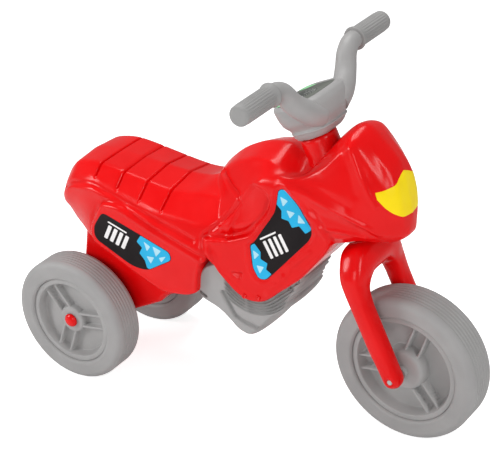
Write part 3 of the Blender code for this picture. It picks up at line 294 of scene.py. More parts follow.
FRONT_LINES = {
    "crest of the tank, dip at the neck and top of the nose": [
        (0.150, 0, 0.296), (0.160, 0, 0.314), (0.175, 0, 0.333), (0.200, 0, 0.355), (0.235, 0, 0.372),
        (0.262, 0, 0.377), (0.290, 0, 0.367), (0.315, 0, 0.374), (0.335, 0, 0.400), (0.355, 0, 0.424),
        (0.370, 0, 0.435), (0.380, 0, 0.433), (0.400, 0, 0.418), (0.415, 0, 0.405), (0.425, 0, 0.395),
        (0.433, 0, 0.376), (0.440, 0, 0.352), (0.446, 0, 0.326), (0.448, 0, 0.308)],
    "upper shoulder and edge of the raised strip": [
        (0.150, 0.004, 0.294), (0.165, 0.014, 0.314), (0.180, 0.022, 0.330), (0.200, 0.030, 0.344),
        (0.235, 0.037, 0.361), (0.262, 0.040, 0.365), (0.300, 0.036, 0.355), (0.335, 0.026, 0.394),
        (0.355, 0.021, 0.420), (0.370, 0.022, 0.430), (0.380, 0.022, 0.427), (0.398, 0.0205, 0.414),
        (0.413, 0.0205, 0.401), (0.424, 0.021, 0.389), (0.432, 0.022, 0.374), (0.438, 0.022, 0.354),
        (0.443, 0.020, 0.330), (0.446, 0.014, 0.316), (0.448, 0.006, 0.307)],
    "crown of the tank's side, then the full cheek of the nose": [
        (0.150, 0.005, 0.292), (0.180, 0.026, 0.321), (0.200, 0.035, 0.333), (0.235, 0.0445, 0.3495),
        (0.262, 0.0485, 0.3580), (0.300, 0.0445, 0.3575), (0.335, 0.036, 0.3855), (0.355, 0.0315, 0.4105),
        (0.375, 0.0318, 0.4265), (0.384, 0.0352, 0.4188), (0.394, 0.0377, 0.4068), (0.404, 0.0387, 0.3941),
        (0.416, 0.0374, 0.3778), (0.426, 0.0343, 0.3628), (0.434, 0.0303, 0.3479), (0.442, 0.0212, 0.3240),
        (0.448, 0.007, 0.3065)],
    "side edge of the top, then the ridge beside the headlight": [
        (0.150, 0.006, 0.290), (0.165, 0.020, 0.300), (0.180, 0.030, 0.312), (0.200, 0.040, 0.322),
        (0.235, 0.052, 0.338), (0.258, 0.057, 0.350), (0.300, 0.053, 0.360), (0.330, 0.047, 0.372),
        (0.355, 0.042, 0.400), (0.375, 0.040, 0.421), (0.384, 0.0435, 0.4065), (0.394, 0.046, 0.3890),
        (0.404, 0.0465, 0.3715), (0.416, 0.0430, 0.3520), (0.426, 0.0375, 0.3370), (0.434, 0.0305, 0.3260),
        (0.442, 0.020, 0.3140), (0.448, 0.008, 0.306)],
    "long ridge along the side": [
        (0.150, 0.010, 0.284), (0.165, 0.028, 0.286), (0.180, 0.040, 0.290), (0.200, 0.050, 0.296),
        (0.235, 0.060, 0.325), (0.258, 0.062, 0.345), (0.300, 0.064, 0.346), (0.340, 0.062, 0.341),
        (0.375, 0.058, 0.334), (0.403, 0.052, 0.322), (0.418, 0.045, 0.315), (0.430, 0.036, 0.309),
        (0.440, 0.024, 0.305), (0.448, 0.009, 0.304)],
    "lower side": [
        (0.150, 0.012, 0.278), (0.165, 0.045, 0.262), (0.180, 0.062, 0.258), (0.200, 0.068, 0.262),
        (0.235, 0.070, 0.275), (0.258, 0.068, 0.285), (0.300, 0.064, 0.290), (0.340, 0.058, 0.290),
        (0.360, 0.054, 0.290), (0.400, 0.045, 0.298), (0.425, 0.035, 0.299), (0.440, 0.023, 0.300),
        (0.448, 0.009, 0.302)],
    "bottom edge": [
        (0.150, 0.010, 0.270), (0.165, 0.040, 0.240), (0.200, 0.060, 0.235), (0.300, 0.054, 0.235),
        (0.335, 0.045, 0.268), (0.360, 0.043, 0.276), (0.400, 0.035, 0.288), (0.425, 0.026, 0.289),
        (0.440, 0.016, 0.293), (0.448, 0.006, 0.300)],
    "centre of the bottom": [
        (0.150, 0, 0.268), (0.165, 0, 0.240), (0.200, 0, 0.235), (0.300, 0, 0.235), (0.335, 0, 0.2554),
        (0.350, 0, 0.2630), (0.385, 0, 0.2809), (0.400, 0, 0.2885), (0.425, 0, 0.2895), (0.440, 0, 0.2925),
        (0.448, 0, 0.299)],
}

# %% Outlines of the raised plates, the notch and the stickers: (x, z, corner radius)
PANEL_SIDE = 0.0815
PANEL = [(0.005, 0.246, 0.010), (-0.0165, 0.203, 0.010), (-0.0145, 0.180, 0.010), (0.058, 0.152, 0.012),
         (0.110, 0.135, 0.010), (0.150, 0.144, 0.006), (0.167, 0.154, 0.006), (0.168, 0.180, 0.006),
         (0.181, 0.208, 0.010), (0.136, 0.219, 0.012), (0.091, 0.231, 0.010), (0.036, 0.2485, 0.010)]
BELLY = [(0.176, 0.240, 0), (0.1845, 0.203, 0.008), (0.222, 0.168, 0.006), (0.240, 0.159, 0.010),
         (0.262, 0.162, 0.010), (0.317, 0.214, 0.010), (0.352, 0.262, 0.010), (0.359, 0.281, 0.006),
         (0.340, 0.312, 0.010), (0.302, 0.352, 0.008), (0.287, 0.354, 0.006), (0.274, 0.330, 0.010),
         (0.268, 0.300, 0.010), (0.240, 0.264, 0.010), (0.215, 0.250, 0.006)]
NOTCH = [(0.186, 0.209, 0.012), (0.170, 0.203, 0.012), (0.168, 0.180, 0.010), (0.167, 0.120, 0),
         (0.240, 0.120, 0), (0.222, 0.168, 0), (0.199, 0.1895, 0.004)]
REAR_STICKER = [(0.0085, 0.232, 0.008), (-0.0075, 0.204, 0.008), (-0.0060, 0.186, 0.010),
                (0.058, 0.1615, 0.012), (0.084, 0.163, 0.010), (0.126, 0.193, 0.007), (0.1225, 0.2045, 0.010)]
FRONT_STICKER = [(0.2930, 0.3450, 0.007), (0.2840, 0.3410, 0.005), (0.2800, 0.3080, 0.008),
                 (0.2500, 0.2550, 0.005), (0.2430, 0.2490, 0.004), (0.2470, 0.2150, 0.006),
                 (0.2560, 0.1990, 0.008), (0.2680, 0.2010, 0.006), (0.3290, 0.2780, 0.009),
                 (0.3330, 0.2940, 0.008), (0.3130, 0.3250, 0.008)]


BELLY_HALF, BELLY_FROM_X, BELLY_TAPER = 0.0745, 0.190, 0.122


def belly_side(x):
    """Half width of the belly, which narrows in a straight line towards the nose."""
    return BELLY_HALF - BELLY_TAPER * (x - BELLY_FROM_X)


# %% [markdown]
# ### Distances
# Inside a closed outline the distance to the nearest edge counts as negative. The sign comes from how many
# edges a level ray crosses. Cross sections are half outlines from the top centre to the bottom centre.

# %% Signed distance to an outline
def polygon_distance(a, b, corners_a, corners_b, closed=True):
    """Distance from points (a, b) to a polygon, negative inside: the least distance to any of its edges."""
    nearest = np.full(np.shape(a), np.inf)
    inside = np.zeros(np.shape(a), dtype=bool)
    count = len(corners_a)
    for k in range(count if closed else count - 1):
        a0, b0 = corners_a[k], corners_b[k]
        a1, b1 = corners_a[(k + 1) % count], corners_b[(k + 1) % count]
        along = np.maximum((a1 - a0) ** 2 + (b1 - b0) ** 2, 1e-12)
        t = np.clip(((a - a0) * (a1 - a0) + (b - b0) * (b1 - b0)) / along, 0, 1)
        nearest = np.minimum(nearest, (a - a0 - t * (a1 - a0)) ** 2 + (b - b0 - t * (b1 - b0)) ** 2)
        spans = (b0 > b) != (b1 > b)
        rise = np.where(np.abs(b1 - b0) < 1e-12, 1e-12, b1 - b0)
        inside ^= spans & (a < a0 + (b - b0) / rise * (a1 - a0))
    return np.where(inside, -1, 1) * np.sqrt(nearest)


def outline_field(corners, pitch=0.001):
    """Distance to a side-view outline, tabled once on a 1 mm grid and read between its points."""
    outline = rounded_outline(corners)
    x = np.arange(-0.13, 0.49, pitch)
    z = np.arange(0.0, 0.47, pitch)
    grid_x, grid_z = np.meshgrid(x, z, indexing="ij")
    table = polygon_distance(grid_x, grid_z, outline[:, 0], outline[:, 1])

    def read(at_x, at_z):
        """Bilinear value between the four nearest points of the grid."""
        i = np.clip((at_x - x[0]) / pitch, 0, len(x) - 2)
        j = np.clip((at_z - z[0]) / pitch, 0, len(z) - 2)
        i0, j0 = i.astype(int), j.astype(int)
        fi, fj = i - i0, j - j0
        low = table[i0, j0] * (1 - fi) + table[i0 + 1, j0] * fi
        high = table[i0, j0 + 1] * (1 - fi) + table[i0 + 1, j0 + 1] * fi
        return low * (1 - fj) + high * fj
    return read


def section_field(lines):
    """Distance to the cross section at each point's own x, and to the two end planes."""
    first, last = lines[next(iter(lines))][0][0], lines[next(iter(lines))][-1][0]
    fine = np.arange(first, last + 0.0005, 0.0005)
    wide = [through([(x, y) for x, y, _ in knots], fine) for knots in lines.values()]
    high = [through([(x, z) for x, _, z in knots], fine) for knots in lines.values()]

    def read(x, y, z):
        """The greater of the distance to the section and the distances past the end planes."""
        at_y = [np.interp(x, fine, line) for line in wide]
        at_z = [np.interp(x, fine, line) for line in high]
        section = polygon_distance(y, z, at_y, at_z, closed=False)
        return np.maximum(section, np.maximum(first - x, x - last))
    return read


# %% The body's field
rear_run, front_run = section_field(REAR_LINES), section_field(FRONT_LINES)
panel_field, belly_field, notch_field = outline_field(PANEL), outline_field(BELLY), outline_field(NOTCH)
BED_MARGIN, BED_DEEP = 0.0030, 0.0012   # the front sticker's bed, round it and into the belly
bed_field = outline_field(FRONT_STICKER)


def body_field(points):
    """Least of the parts that are joined, then the greatest of that and the parts that are taken away."""
    x, y, z = points[..., 0], np.abs(points[..., 1]), points[..., 2]
    value = np.minimum(rear_run(x, y, z), front_run(x, y, z))
    value = np.minimum(value, np.maximum(panel_field(x, z), y - PANEL_SIDE))
    value = np.minimum(value, np.maximum(belly_field(x, z), y - belly_side(x)))
    value = np.maximum(value, -notch_field(x, z))
    bed = np.maximum(bed_field(x, z) - BED_MARGIN, belly_side(x) - BED_DEEP - y)
    return np.maximum(value, -bed)


# %% [markdown]
# ### Rays from a spine
# A bent line runs inside the body from tail to nose. At each station a fan of rays leaves it, and each ray
# stops where the field turns positive. Half a sphere of rays closes each end. Between the ends, the lean of
# each fan is chosen so that its rays meet the skin squarely. The stations and the angles are then shared out
# again, so that no step along the skin is much longer than the others.

# %% Cast the skin
SPINE = [
    # station, x, z, lean of the fan from upright, swing towards the end
    (0.00, -0.045, 0.222, 0, -90), (0.12, -0.045, 0.222, 0, 0), (0.20, 0.000, 0.220, 0, 0),
    (0.40, 0.120, 0.220, 0, 0), (0.52, 0.200, 0.255, 14, 0), (0.62, 0.270, 0.290, 34, 0),
    (0.72, 0.335, 0.325, 40, 0), (0.80, 0.385, 0.340, 24, 0), (0.87, 0.418, 0.338, 0, 0),
    (1.00, 0.418, 0.338, 0, 90)]


def spine_at(station):
    """Start of the rays and the three directions of their fan, at each station."""
    key = np.array(SPINE).T
    x, z = np.interp(station, key[0], key[1]), np.interp(station, key[0], key[2])
    lean, swing = (np.radians(np.interp(station, key[0], row)) for row in key[3:])
    up = np.stack([-np.sin(lean), 0 * lean, np.cos(lean)], axis=-1)
    ahead = np.stack([np.cos(lean), 0 * lean, np.sin(lean)], axis=-1)
    start, open_ = np.stack([x, 0 * x, z], axis=-1), np.cos(swing)
    return start, up * open_[:, None], ahead * np.sin(swing)[:, None], open_


MARCHES, MARCH_SHARE, LEAST_STEP = 30, 0.7, 0.0004
HALVINGS = 6


def cast(station, angle, field):
    """Points on the skin: start + reach (cos a up + sin a side + ahead), with reach found by marching."""
    start, up, ahead, open_ = spine_at(station)
    side = np.array((0.0, -1.0, 0.0))
    way = (np.cos(angle)[None, :, None] * up[:, None] + ahead[:, None]
           + np.sin(angle)[None, :, None] * open_[:, None, None] * side)
    start = np.broadcast_to(start[:, None], way.shape)
    reach = np.zeros(way.shape[:2])
    step = np.zeros_like(reach)
    inside = np.ones_like(reach, dtype=bool)
    for _ in range(MARCHES):
        value = field(start + way * reach[..., None])
        inside &= value < 0
        step = np.where(inside, np.maximum(-MARCH_SHARE * value, LEAST_STEP), step)
        reach += np.where(inside, step, 0)
    low, high = reach - step, reach
    for _ in range(HALVINGS):
        middle = (low + high) / 2
        outside = field(start + way * middle[..., None]) >= 0
        low, high = np.where(outside, low, middle), np.where(outside, middle, high)
    return start + way * ((low + high) / 2)[..., None]


def shared_out(parameter, points, axis, count):
    """New parameter values at equal steps of the longest way that the skin takes between neighbours."""
    step = np.linalg.norm(np.diff(points, axis=axis), axis=-1)
    longest = np.percentile(step, 90, axis=1 - axis)
    along = np.concatenate([[0], np.cumsum(longest + longest.mean() * 0.25)])
    return np.interp(np.linspace(0, along[-1], count), along, parameter)


ROWS, COLUMNS = ((300, 130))
station = np.linspace(0.001, 0.999, ROWS)
angle = np.linspace(0, math.pi, COLUMNS)
for _ in range(2):
    rough = cast(station[::2], angle[::2], body_field)
    station = shared_out(station[::2], rough, 0, ROWS)
    rough = cast(station[::2], angle[::2], body_field)
    angle = shared_out(angle[::2], rough, 1, COLUMNS)
skin = cast(station, angle, body_field)
print("skin cast:", skin.shape, "reaches", skin.min(axis=(0, 1)).round(4), skin.max(axis=(0, 1)).round(4))


# %% [markdown]
# ### Softening, creases and seat grooves
# Blow moulding can't hold a sharp edge, so the grid is averaged with its neighbours until every edge has a
# radius of about 2 mm, and the nose a larger one. Ridges, creases and hollows are then pressed in: each is a
# height that fades with the distance from a line in space, or with the distance inside a side-view outline.
# The seat grooves are narrower still, so they get extra rows, read from a smooth curve through the first
# ones.

# %% Soften, add rows, press the grooves
def softened(grid, times):
    """Binomial average (p-1 + 2 p + p+1) / 4 along both parameters, with the columns running round."""
    for _ in range(times):
        grid = (np.roll(grid, 1, axis=1) + 2 * grid + np.roll(grid, -1, axis=1)) / 4
        grid[1:-1] = (grid[:-2] + 2 * grid[1:-1] + grid[2:]) / 4
    return grid


OUTWARD_SHARE = 1.02


def evened(grid, times):
    """Averages that keep the size: each step inward is followed by a slightly longer one outward."""
    for _ in range(times):
        grid = softened(grid, 1)
        grid = grid - OUTWARD_SHARE * (softened(grid, 1) - grid)
    return grid


def rows_between(grid, at):
    """Catmull-Rom curve through the rows, read at fractional row numbers."""
    i = np.clip(at.astype(int), 0, len(grid) - 2)
    t = (at - i)[:, None, None]
    before, here = grid[np.maximum(i - 1, 0)], grid[i]
    after, next_ = grid[i + 1], grid[np.minimum(i + 2, len(grid) - 1)]
    return here + 0.5 * t * (after - before + t * (2 * before - 5 * here + 4 * after - next_
                                                   + t * (3 * (here - after) + next_ - before)))


def grid_normals(grid):
    """Unit cross product of the steps along the rows and round the columns."""
    along = np.gradient(grid, axis=0)
    round_ = np.roll(grid, -1, axis=1) - np.roll(grid, 1, axis=1)
    normal = np.cross(along, round_)
    return normal / np.maximum(np.linalg.norm(normal, axis=-1, keepdims=True), 1e-12)


def outward_normals(grid):
    """The grid's normals, turned so that those along the top centre point up."""
    normal = grid_normals(grid)
    return normal * np.sign(np.mean(normal[:, 0, 2]))


FIRST_GROOVE, GROOVE_STEP = -0.016, 0.0395
GROOVES = [FIRST_GROOVE + GROOVE_STEP * number for number in range(4)]
GROOVE_HALF, GROOVE_DEEP = 0.0027, 0.0046
GROOVE_END, GROOVE_GROWS, GROOVE_FADE = 0.0635, 0.003, 0.003   # half width at its end, growth, fade
GROOVE_LOWEST = 0.24                  # grooves stay above this height
GROOVE_ROOM = 0.0045                  # extra rows on either side of each groove
# Height, reach and the line itself in space: (x, half width, height)
CREASES = {
    "long ridge along the nose": (0.0024, 0.0036, [
        (0.2960, 0.0645, 0.3520), (0.3157, 0.0640, 0.3493), (0.3459, 0.0620, 0.3399),
        (0.3801, 0.0575, 0.3280), (0.4057, 0.0510, 0.3186), (0.4229, 0.0420, 0.3054)]),
    "hollow over the long ridge": (-0.0020, 0.0060, [
        (0.3000, 0.0600, 0.3620), (0.3459, 0.0580, 0.3520), (0.3801, 0.0560, 0.3420)]),
    "second ridge below it": (0.0018, 0.0030, [
        (0.3448, 0.0590, 0.3003), (0.3650, 0.0550, 0.3021),
        (0.3846, 0.0500, 0.3019), (0.4031, 0.0440, 0.3004)]),
    "hollow between the two ridges": (-0.0016, 0.0055, [
        (0.3300, 0.0620, 0.3230), (0.3650, 0.0580, 0.3160), (0.3950, 0.0500, 0.3100)]),
    "rim of the seat's front lobe": (-0.0036, 0.0032, [
        (0.1667, 0.0158, 0.3129), (0.1811, 0.0298, 0.3144), (0.2005, 0.0442, 0.3118),
        (0.2174, 0.0553, 0.3100), (0.2215, 0.0592, 0.3041), (0.2106, 0.0596, 0.2859),
        (0.1910, 0.0642, 0.2622), (0.1764, 0.0739, 0.2439)]),
    "edge of the shelf between tank and nose": (0.0014, 0.0040, [
        (0.2820, 0.0555, 0.3565), (0.3001, 0.0540, 0.3590), (0.3377, 0.0470, 0.3790),
        (0.3600, 0.0420, 0.4040)]),
    "nose ridge": (0.0018, 0.0034, [
        (0.3749, 0.0400, 0.4180), (0.3833, 0.0432, 0.4070), (0.3940, 0.0458, 0.3874),
        (0.4039, 0.0471, 0.3697), (0.4156, 0.0437, 0.3475)]),
    "hollow behind the nose ridge": (-0.0008, 0.0060, [
        (0.3614, 0.0400, 0.4100), (0.3700, 0.0480, 0.3980),
        (0.3800, 0.0500, 0.3806), (0.3900, 0.0520, 0.3600)]),
    "edge of the windscreen strip": (0.0006, 0.0028, [
        (0.3859, 0.0185, 0.4301), (0.3973, 0.0215, 0.4184), (0.4094, 0.0240, 0.4049),
        (0.4203, 0.0260, 0.3915), (0.4250, 0.0330, 0.3760)]),
    "valley above the bead": (-0.0022, 0.0028, REAR_LINES["valley above the bead"][2:-1]),
    "crest of the bead": (0.0008, 0.0026, REAR_LINES["crest of the bead"][2:-1]),
    "chamfer along the belly": (0.0018, 0.0026, [
        (0.2705, 0.0650, 0.1685), (0.2920, 0.0620, 0.2035),
        (0.3020, 0.0610, 0.2293), (0.3301, 0.0575, 0.2611)]),
    "first short rib": (0.0026, 0.0028, [(0.2920, 0.0620, 0.2143), (0.2862, 0.0630, 0.2050)]),
    "second short rib": (0.0026, 0.0028, [(0.2833, 0.0630, 0.1995), (0.2761, 0.0640, 0.1913)]),
    "third short rib": (0.0026, 0.0028, [(0.2732, 0.0645, 0.1858), (0.2690, 0.0650, 0.1800)]),
}
# Depth, width of the slope at the rim, least half width of the body there, and the side-view outline
HOLLOWS = {
    "knee pocket": (0.0042, 0.0050, 0.035, [
        (0.2420, 0.3390, 0.008), (0.2660, 0.3350, 0.008), (0.2760, 0.3182, 0.008), (0.2709, 0.3015, 0.010),
        (0.2442, 0.2596, 0.008), (0.2030, 0.2428, 0.006), (0.2130, 0.2750, 0.010), (0.2240, 0.3080, 0.008)]),
    "vent": (0.0036, 0.0024, 0.060,
             [(0.2128, 0.2004, 0.002), (0.2336, 0.2030, 0.002), (0.2290, 0.1892, 0.002)]),
}


BORDER_RISE, BORDER_IN = 0.0010, 0.0040        # raised border, inside each plate's edge
BORDER_VALLEY, VALLEY_OUT = 0.0026, 0.0030     # valley outside it
BORDER_WIDE = 0.0026
RIM_RISE, RIM_OUT, RIM_WIDE = 0.0012, 0.0024, 0.0022
SIDE_FROM, SIDE_TO = 0.045, 0.052              # half widths where the borders set in
TOP_FROM, TOP_TO = 0.318, 0.342                # heights where they fade


def line_reach(points, line):
    """Distance in space to an open line, on either side of the body."""
    place = np.stack([points[..., 0], np.abs(points[..., 1]), points[..., 2]], axis=-1)
    nearest = np.full(place.shape[:-1], np.inf)
    for start, end in zip(np.array(line[:-1]), np.array(line[1:])):
        way = end - start
        t = np.clip((place - start) @ way / (way @ way), 0, 1)
        nearest = np.minimum(nearest, np.linalg.norm(place - start - t[..., None] * way, axis=-1))
    return nearest


def pressed_relief(points):
    """Sum of h exp(-(d/w)^2) over the lines, less hollows, plus both plates' borders and the bed's rim."""
    x, y, z = points[..., 0], np.abs(points[..., 1]), points[..., 2]
    height = sum(high * np.exp(-(line_reach(points, line) / wide) ** 2)
                 for high, wide, line in CREASES.values())
    for deep, slope, least, outline in HOLLOWS.values():
        height = height - deep * smooth_step(-outline_field(outline)(x, z), 0, slope) * (y > least)
    for off in (panel_field(x, z), belly_field(x, z)):
        border = BORDER_RISE * np.exp(-((off + BORDER_IN) / BORDER_WIDE) ** 2)
        valley = BORDER_VALLEY * np.exp(-((off - VALLEY_OUT) / BORDER_WIDE) ** 2)
        height = height + ((border - valley) * smooth_step(y, SIDE_FROM, SIDE_TO)
                           * (1 - smooth_step(z, TOP_FROM, TOP_TO)))
    rim = RIM_RISE * np.exp(-((bed_field(x, z) - BED_MARGIN - RIM_OUT) / RIM_WIDE) ** 2)
    return height + rim * smooth_step(y, SIDE_FROM, SIDE_TO)


# Where the nose begins: (x, x) and (height, height) between which its own softening sets in
NOSE_X, NOSE_Z = (0.255, 0.285), (0.318, 0.345)
whole = np.concatenate([skin, (skin * (1, -1, 1))[:, -2:0:-1]], axis=1)
whole = softened(whole, 3)
nose = smooth_step(whole[..., 0], *NOSE_X) * smooth_step(whole[..., 2], *NOSE_Z)
whole = whole + (evened(softened(whole, 2), 40) - whole) * nose[..., None]
whole = whole + outward_normals(whole) * pressed_relief(whole)[..., None]
row_x = whole[:, 0, 0]
near_groove = np.min([np.abs(row_x - x) for x in GROOVES], axis=0) < GROOVE_ROOM
dense = np.concatenate([np.arange(len(whole)) + part for part in (0, 0.25, 0.5, 0.75)])
kept = np.concatenate([np.ones(len(whole), bool)] + [near_groove] * 3)
whole = rows_between(whole, np.sort(dense[kept & (dense <= len(whole) - 1)]))


def groove_depth(points):
    """Depth d (1 - s^2)^2 with s the distance across over the half width, fading where the groove ends."""
    x, y, z = points[..., 0], np.abs(points[..., 1]), points[..., 2]
    across = np.min([np.abs(x - groove) for groove in GROOVES], axis=0) / GROOVE_HALF
    end = GROOVE_END + GROOVE_GROWS * (x - FIRST_GROOVE) / GROOVE_STEP
    fade = np.clip((end - y) / GROOVE_FADE, 0, 1) * (z > GROOVE_LOWEST)
    return GROOVE_DEEP * np.clip(1 - across ** 2, 0, 1) ** 2 * fade


whole = whole - outward_normals(whole) * groove_depth(whole)[..., None]
body_points, body_faces = ended(whole, whole[0].mean(axis=0), whole[-1].mean(axis=0))
print("grooves pressed, rows now", len(whole))

# %% [markdown]
# ### Axle box and neck
# The moulding reaches down behind the rear wheels to hold the axle, and forward of the tank it rises into a
# round neck with a flared foot. Both are drawn apart and sunk into the skin, and the three share one mesh.

# %% Axle box, neck and the whole body
AXLE_BOX = [(-0.044, 0.175, 0), (-0.047, 0.150, 0.010), (-0.059, 0.056, 0.018), (-0.046, 0.033, 0.014),
            (-0.024, 0.033, 0.012), (0.042, 0.0715, 0.010), (0.0835, 0.0970, 0.004), (0.0935, 0.1110, 0.004),
            (0.150, 0.1400, 0), (0.165, 0.155, 0), (0.165, 0.190, 0), (-0.044, 0.190, 0)]
AXLE_BOX_SIDE, AXLE_BOX_ROUND = 0.0560, 0.0060
NECK_TOP, UNDERSIDE = 0.3320, 0.1880
NECK = [(0.0190, NECK_TOP), (0.0235, NECK_TOP - 0.0004), (0.0248, NECK_TOP - 0.0015),
        (0.0250, NECK_TOP - 0.006), (0.0250, 0.308), (0.0256, 0.301), (0.0275, 0.294), (0.0315, 0.287),
        (0.0370, 0.281), (0.0250, 0.255), (0.0250, UNDERSIDE + 0.001), (0.0240, UNDERSIDE)]

box_rings = pillow(evenly(rounded_outline(AXLE_BOX), 0.003), lambda x, z: 0 * x - AXLE_BOX_SIDE,
                   lambda x, z: 0 * x + AXLE_BOX_SIDE, AXLE_BOX_ROUND)[..., [0, 2, 1]]
box_points, box_faces = faced(box_rings)
neck_points, neck_faces = ended(revolved(NECK, 64), (0, 0, NECK_TOP), (0, 0, UNDERSIDE))


def several(parts, frames):
    """One set of points and faces from several closed ones, each turned outward first."""
    all_points, all_faces, count = [], [], 0
    for (points, faces), frame_matrix in zip(parts, frames):
        points = placed(points, frame_matrix)
        if signed_volume(points - points.mean(axis=0), faces) < 0:
            faces = [face[:, ::-1] for face in faces]
        all_points.append(points)
        all_faces += [face + count for face in faces]
        count += len(points)
    return np.vstack(all_points), all_faces


body_parts = [(body_points, body_faces), (box_points, box_faces), (neck_points, neck_faces)]
points, faces = several(body_parts, [BODY, BODY, STEERING])
body = mesh_object("body_skin", points, faces)
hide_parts("body_shell")
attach(body, "body")
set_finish(body, "moulded_red")

# %% [markdown]
# ### Belly plugs
# Two small plugs hold each belly wall on the engine. Their heads are turned profiles with a dimple in the
# middle, and they stand a little proud of the wall.

# %% Belly plugs
PLUGS = {"rear": (0.2350, 0.1675), "front": (0.2555, 0.1700)}
PLUG_HEAD, PLUG_SHANK, PLUG_PROUD, PLUG_LONG = 0.0038, 0.0030, 0.0018, 0.0160
DIMPLE = 0.0018
for side, sign in (("right", -1), ("left", 1)):
    for end, (x, z) in PLUGS.items():
        profile = [(0.0012, PLUG_PROUD - 0.0016), (0.0019, PLUG_PROUD - 0.0002), (0.0027, PLUG_PROUD),
                   (PLUG_HEAD - 0.0003, PLUG_PROUD - 0.0003), (PLUG_HEAD, -0.0006),
                   (PLUG_SHANK, -0.0010), (PLUG_SHANK, -PLUG_LONG)]
        place = BODY @ Matrix.Translation((x, sign * belly_side(x), z)) @ Matrix.Rotation(
            math.radians(-90 * sign), 4, "X")
        plug = mesh_object(f"belly_plug_head_{side}_{end}", *ended(
            revolved(profile, 32), (0, 0, PLUG_PROUD - DIMPLE), (0, 0, -PLUG_LONG)), place)
        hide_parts(f"belly_plug_{side}_{end}")
        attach(plug, "body")
        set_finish(plug, "moulded_red")

# %% [markdown]
# ## Wheels
# Each rim is one hard moulding: a recessed disc, a rolled lip, a round hub boss and three pairs of parallel
# ribs. Half its thickness is a height over the disc, so one polar grid makes both faces and meets itself in
# the bore. The tyre is a ring with a plain side, a round shoulder and fine lines round the tread.

# %% Rims
AXLE_RADIUS = 0.0040
RUN = 0.0005
WEB_FACE = 0.0080
LIP_INSET, LIP_FOOT, LIP_CREST = 0.0040, 0.0125, 0.0070
RIB_SPREAD, RIB_OFFSET, RIB_BELOW_LIP, RIB_STOP = 0.002728, 0.0100, 0.0035, 0.008
HUB_EASE = 0.0015                     # how far the boss rounds out past its radius
EDGE_DROP, EDGE_FROM, EDGE_GAP = 0.0006, 0.0014, 0.0003
REAR_SEAT, REAR_WIDTH, REAR_HUB, REAR_HUB_FACE = 0.0655, 0.049, 0.0200, 0.0180
FRONT_SEAT, FRONT_WIDTH, FRONT_HUB, FRONT_HUB_FACE = 0.0770, 0.056, 0.0300, 0.0270
REAR_FIRST_PAIR, FRONT_FIRST_PAIR = 8.0, 67.0
REAR_SHOULDER, FRONT_SHOULDER = 0.0095, 0.0110


def rim_face(r, a, seat, lip, hub_radius, hub_face, first_pair):
    """Height over the wheel's middle: the greatest of disc, hub, lip and six ribs."""
    boss = np.clip(1 - (r / (hub_radius + HUB_EASE)) ** 14, 0, 1) ** 0.5
    height = np.maximum(WEB_FACE, WEB_FACE + (hub_face - WEB_FACE) * boss)
    rolled = WEB_FACE + (lip - WEB_FACE) * smooth_step(r, seat - LIP_FOOT, seat - LIP_CREST)
    height = np.maximum(height, rolled)
    for turn in range(3):
        from_pair = a - math.radians(first_pair + 120 * turn)
        out, side = r * np.cos(from_pair), r * np.sin(from_pair)
        off = np.abs(np.abs(side) - RIB_OFFSET) / RIB_SPREAD
        top = np.clip(1 - off ** 4, 0, 1) ** 0.5 * (out > 0)
        height = np.maximum(height, WEB_FACE + (lip - RIB_BELOW_LIP - WEB_FACE) * top * (r < seat - RIB_STOP))
    return height - EDGE_DROP * smooth_step(r, seat - EDGE_FROM, seat - EDGE_GAP)


def rim(name, place, seat, width, hub_radius, hub_face, first_pair):
    """Both faces over one polar grid, the far one with its rows reversed."""
    radius = np.concatenate([np.linspace(AXLE_RADIUS + RUN, hub_radius - 0.004, 8),
                             np.linspace(hub_radius - 0.003, hub_radius + 0.004, 12),
                             np.linspace(hub_radius + 0.006, seat - EDGE_GAP, 60)])
    angle = np.linspace(0, math.tau, 300, endpoint=False)
    r, a = np.meshgrid(radius, angle, indexing="ij")
    height = rim_face(r, a, seat, width / 2 - LIP_INSET, hub_radius, hub_face, first_pair)
    near = np.stack([r * np.cos(a), r * np.sin(a), height], axis=-1)
    return mesh_object(name, *looped(np.concatenate([near, (near * (1, 1, -1))[::-1]])), place)


# %% Tyres and caps
TREAD_LINES = 6
LINE_WIDE, LINE_DEEP = 0.0012, 0.0009


def tyre_profile(seat, radius, width, shoulder):
    """Side, shoulder (R - s + s sin t, w/2 - s + s cos t) and tread, then the same below the middle."""
    half = width / 2
    side = [(seat, half - 0.0030), (seat + 0.0010, half - 0.0016), (seat + 0.0028, half - 0.0004),
            (seat + 0.0048, half), (seat + 0.0066, half - 0.0005), (radius - shoulder - 0.004, half - 0.0001)]
    t = np.linspace(0.05, math.pi / 2, 12)
    bend = np.column_stack([radius - shoulder + shoulder * np.sin(t), half - shoulder + shoulder * np.cos(t)])
    across = np.linspace(half - shoulder - 0.0006, 0, 48)
    line = np.linspace(half - shoulder - 0.002, -(half - shoulder - 0.002), TREAD_LINES)
    off = np.min([np.abs(across - place) for place in line], axis=0) / LINE_WIDE
    tread = np.column_stack([radius - LINE_DEEP * np.clip(1 - off ** 2, 0, 1), across])
    upper = np.vstack([side, bend, tread])
    return np.vstack([upper, (upper * (1, -1))[-2::-1]])


def tyre(name, place, seat, radius, width, shoulder):
    """The profile turned about the axle, as one ring that meets itself."""
    rings = revolved(tyre_profile(seat, radius, width, shoulder), 192)
    return mesh_object(name, *looped(rings), place)


CAP_RADIUS, CAP_BORE, CAP_FOOT, CAP_RISE, CAP_HOLLOW = 0.0100, 0.0042, 0.0014, 0.0054, 0.0034


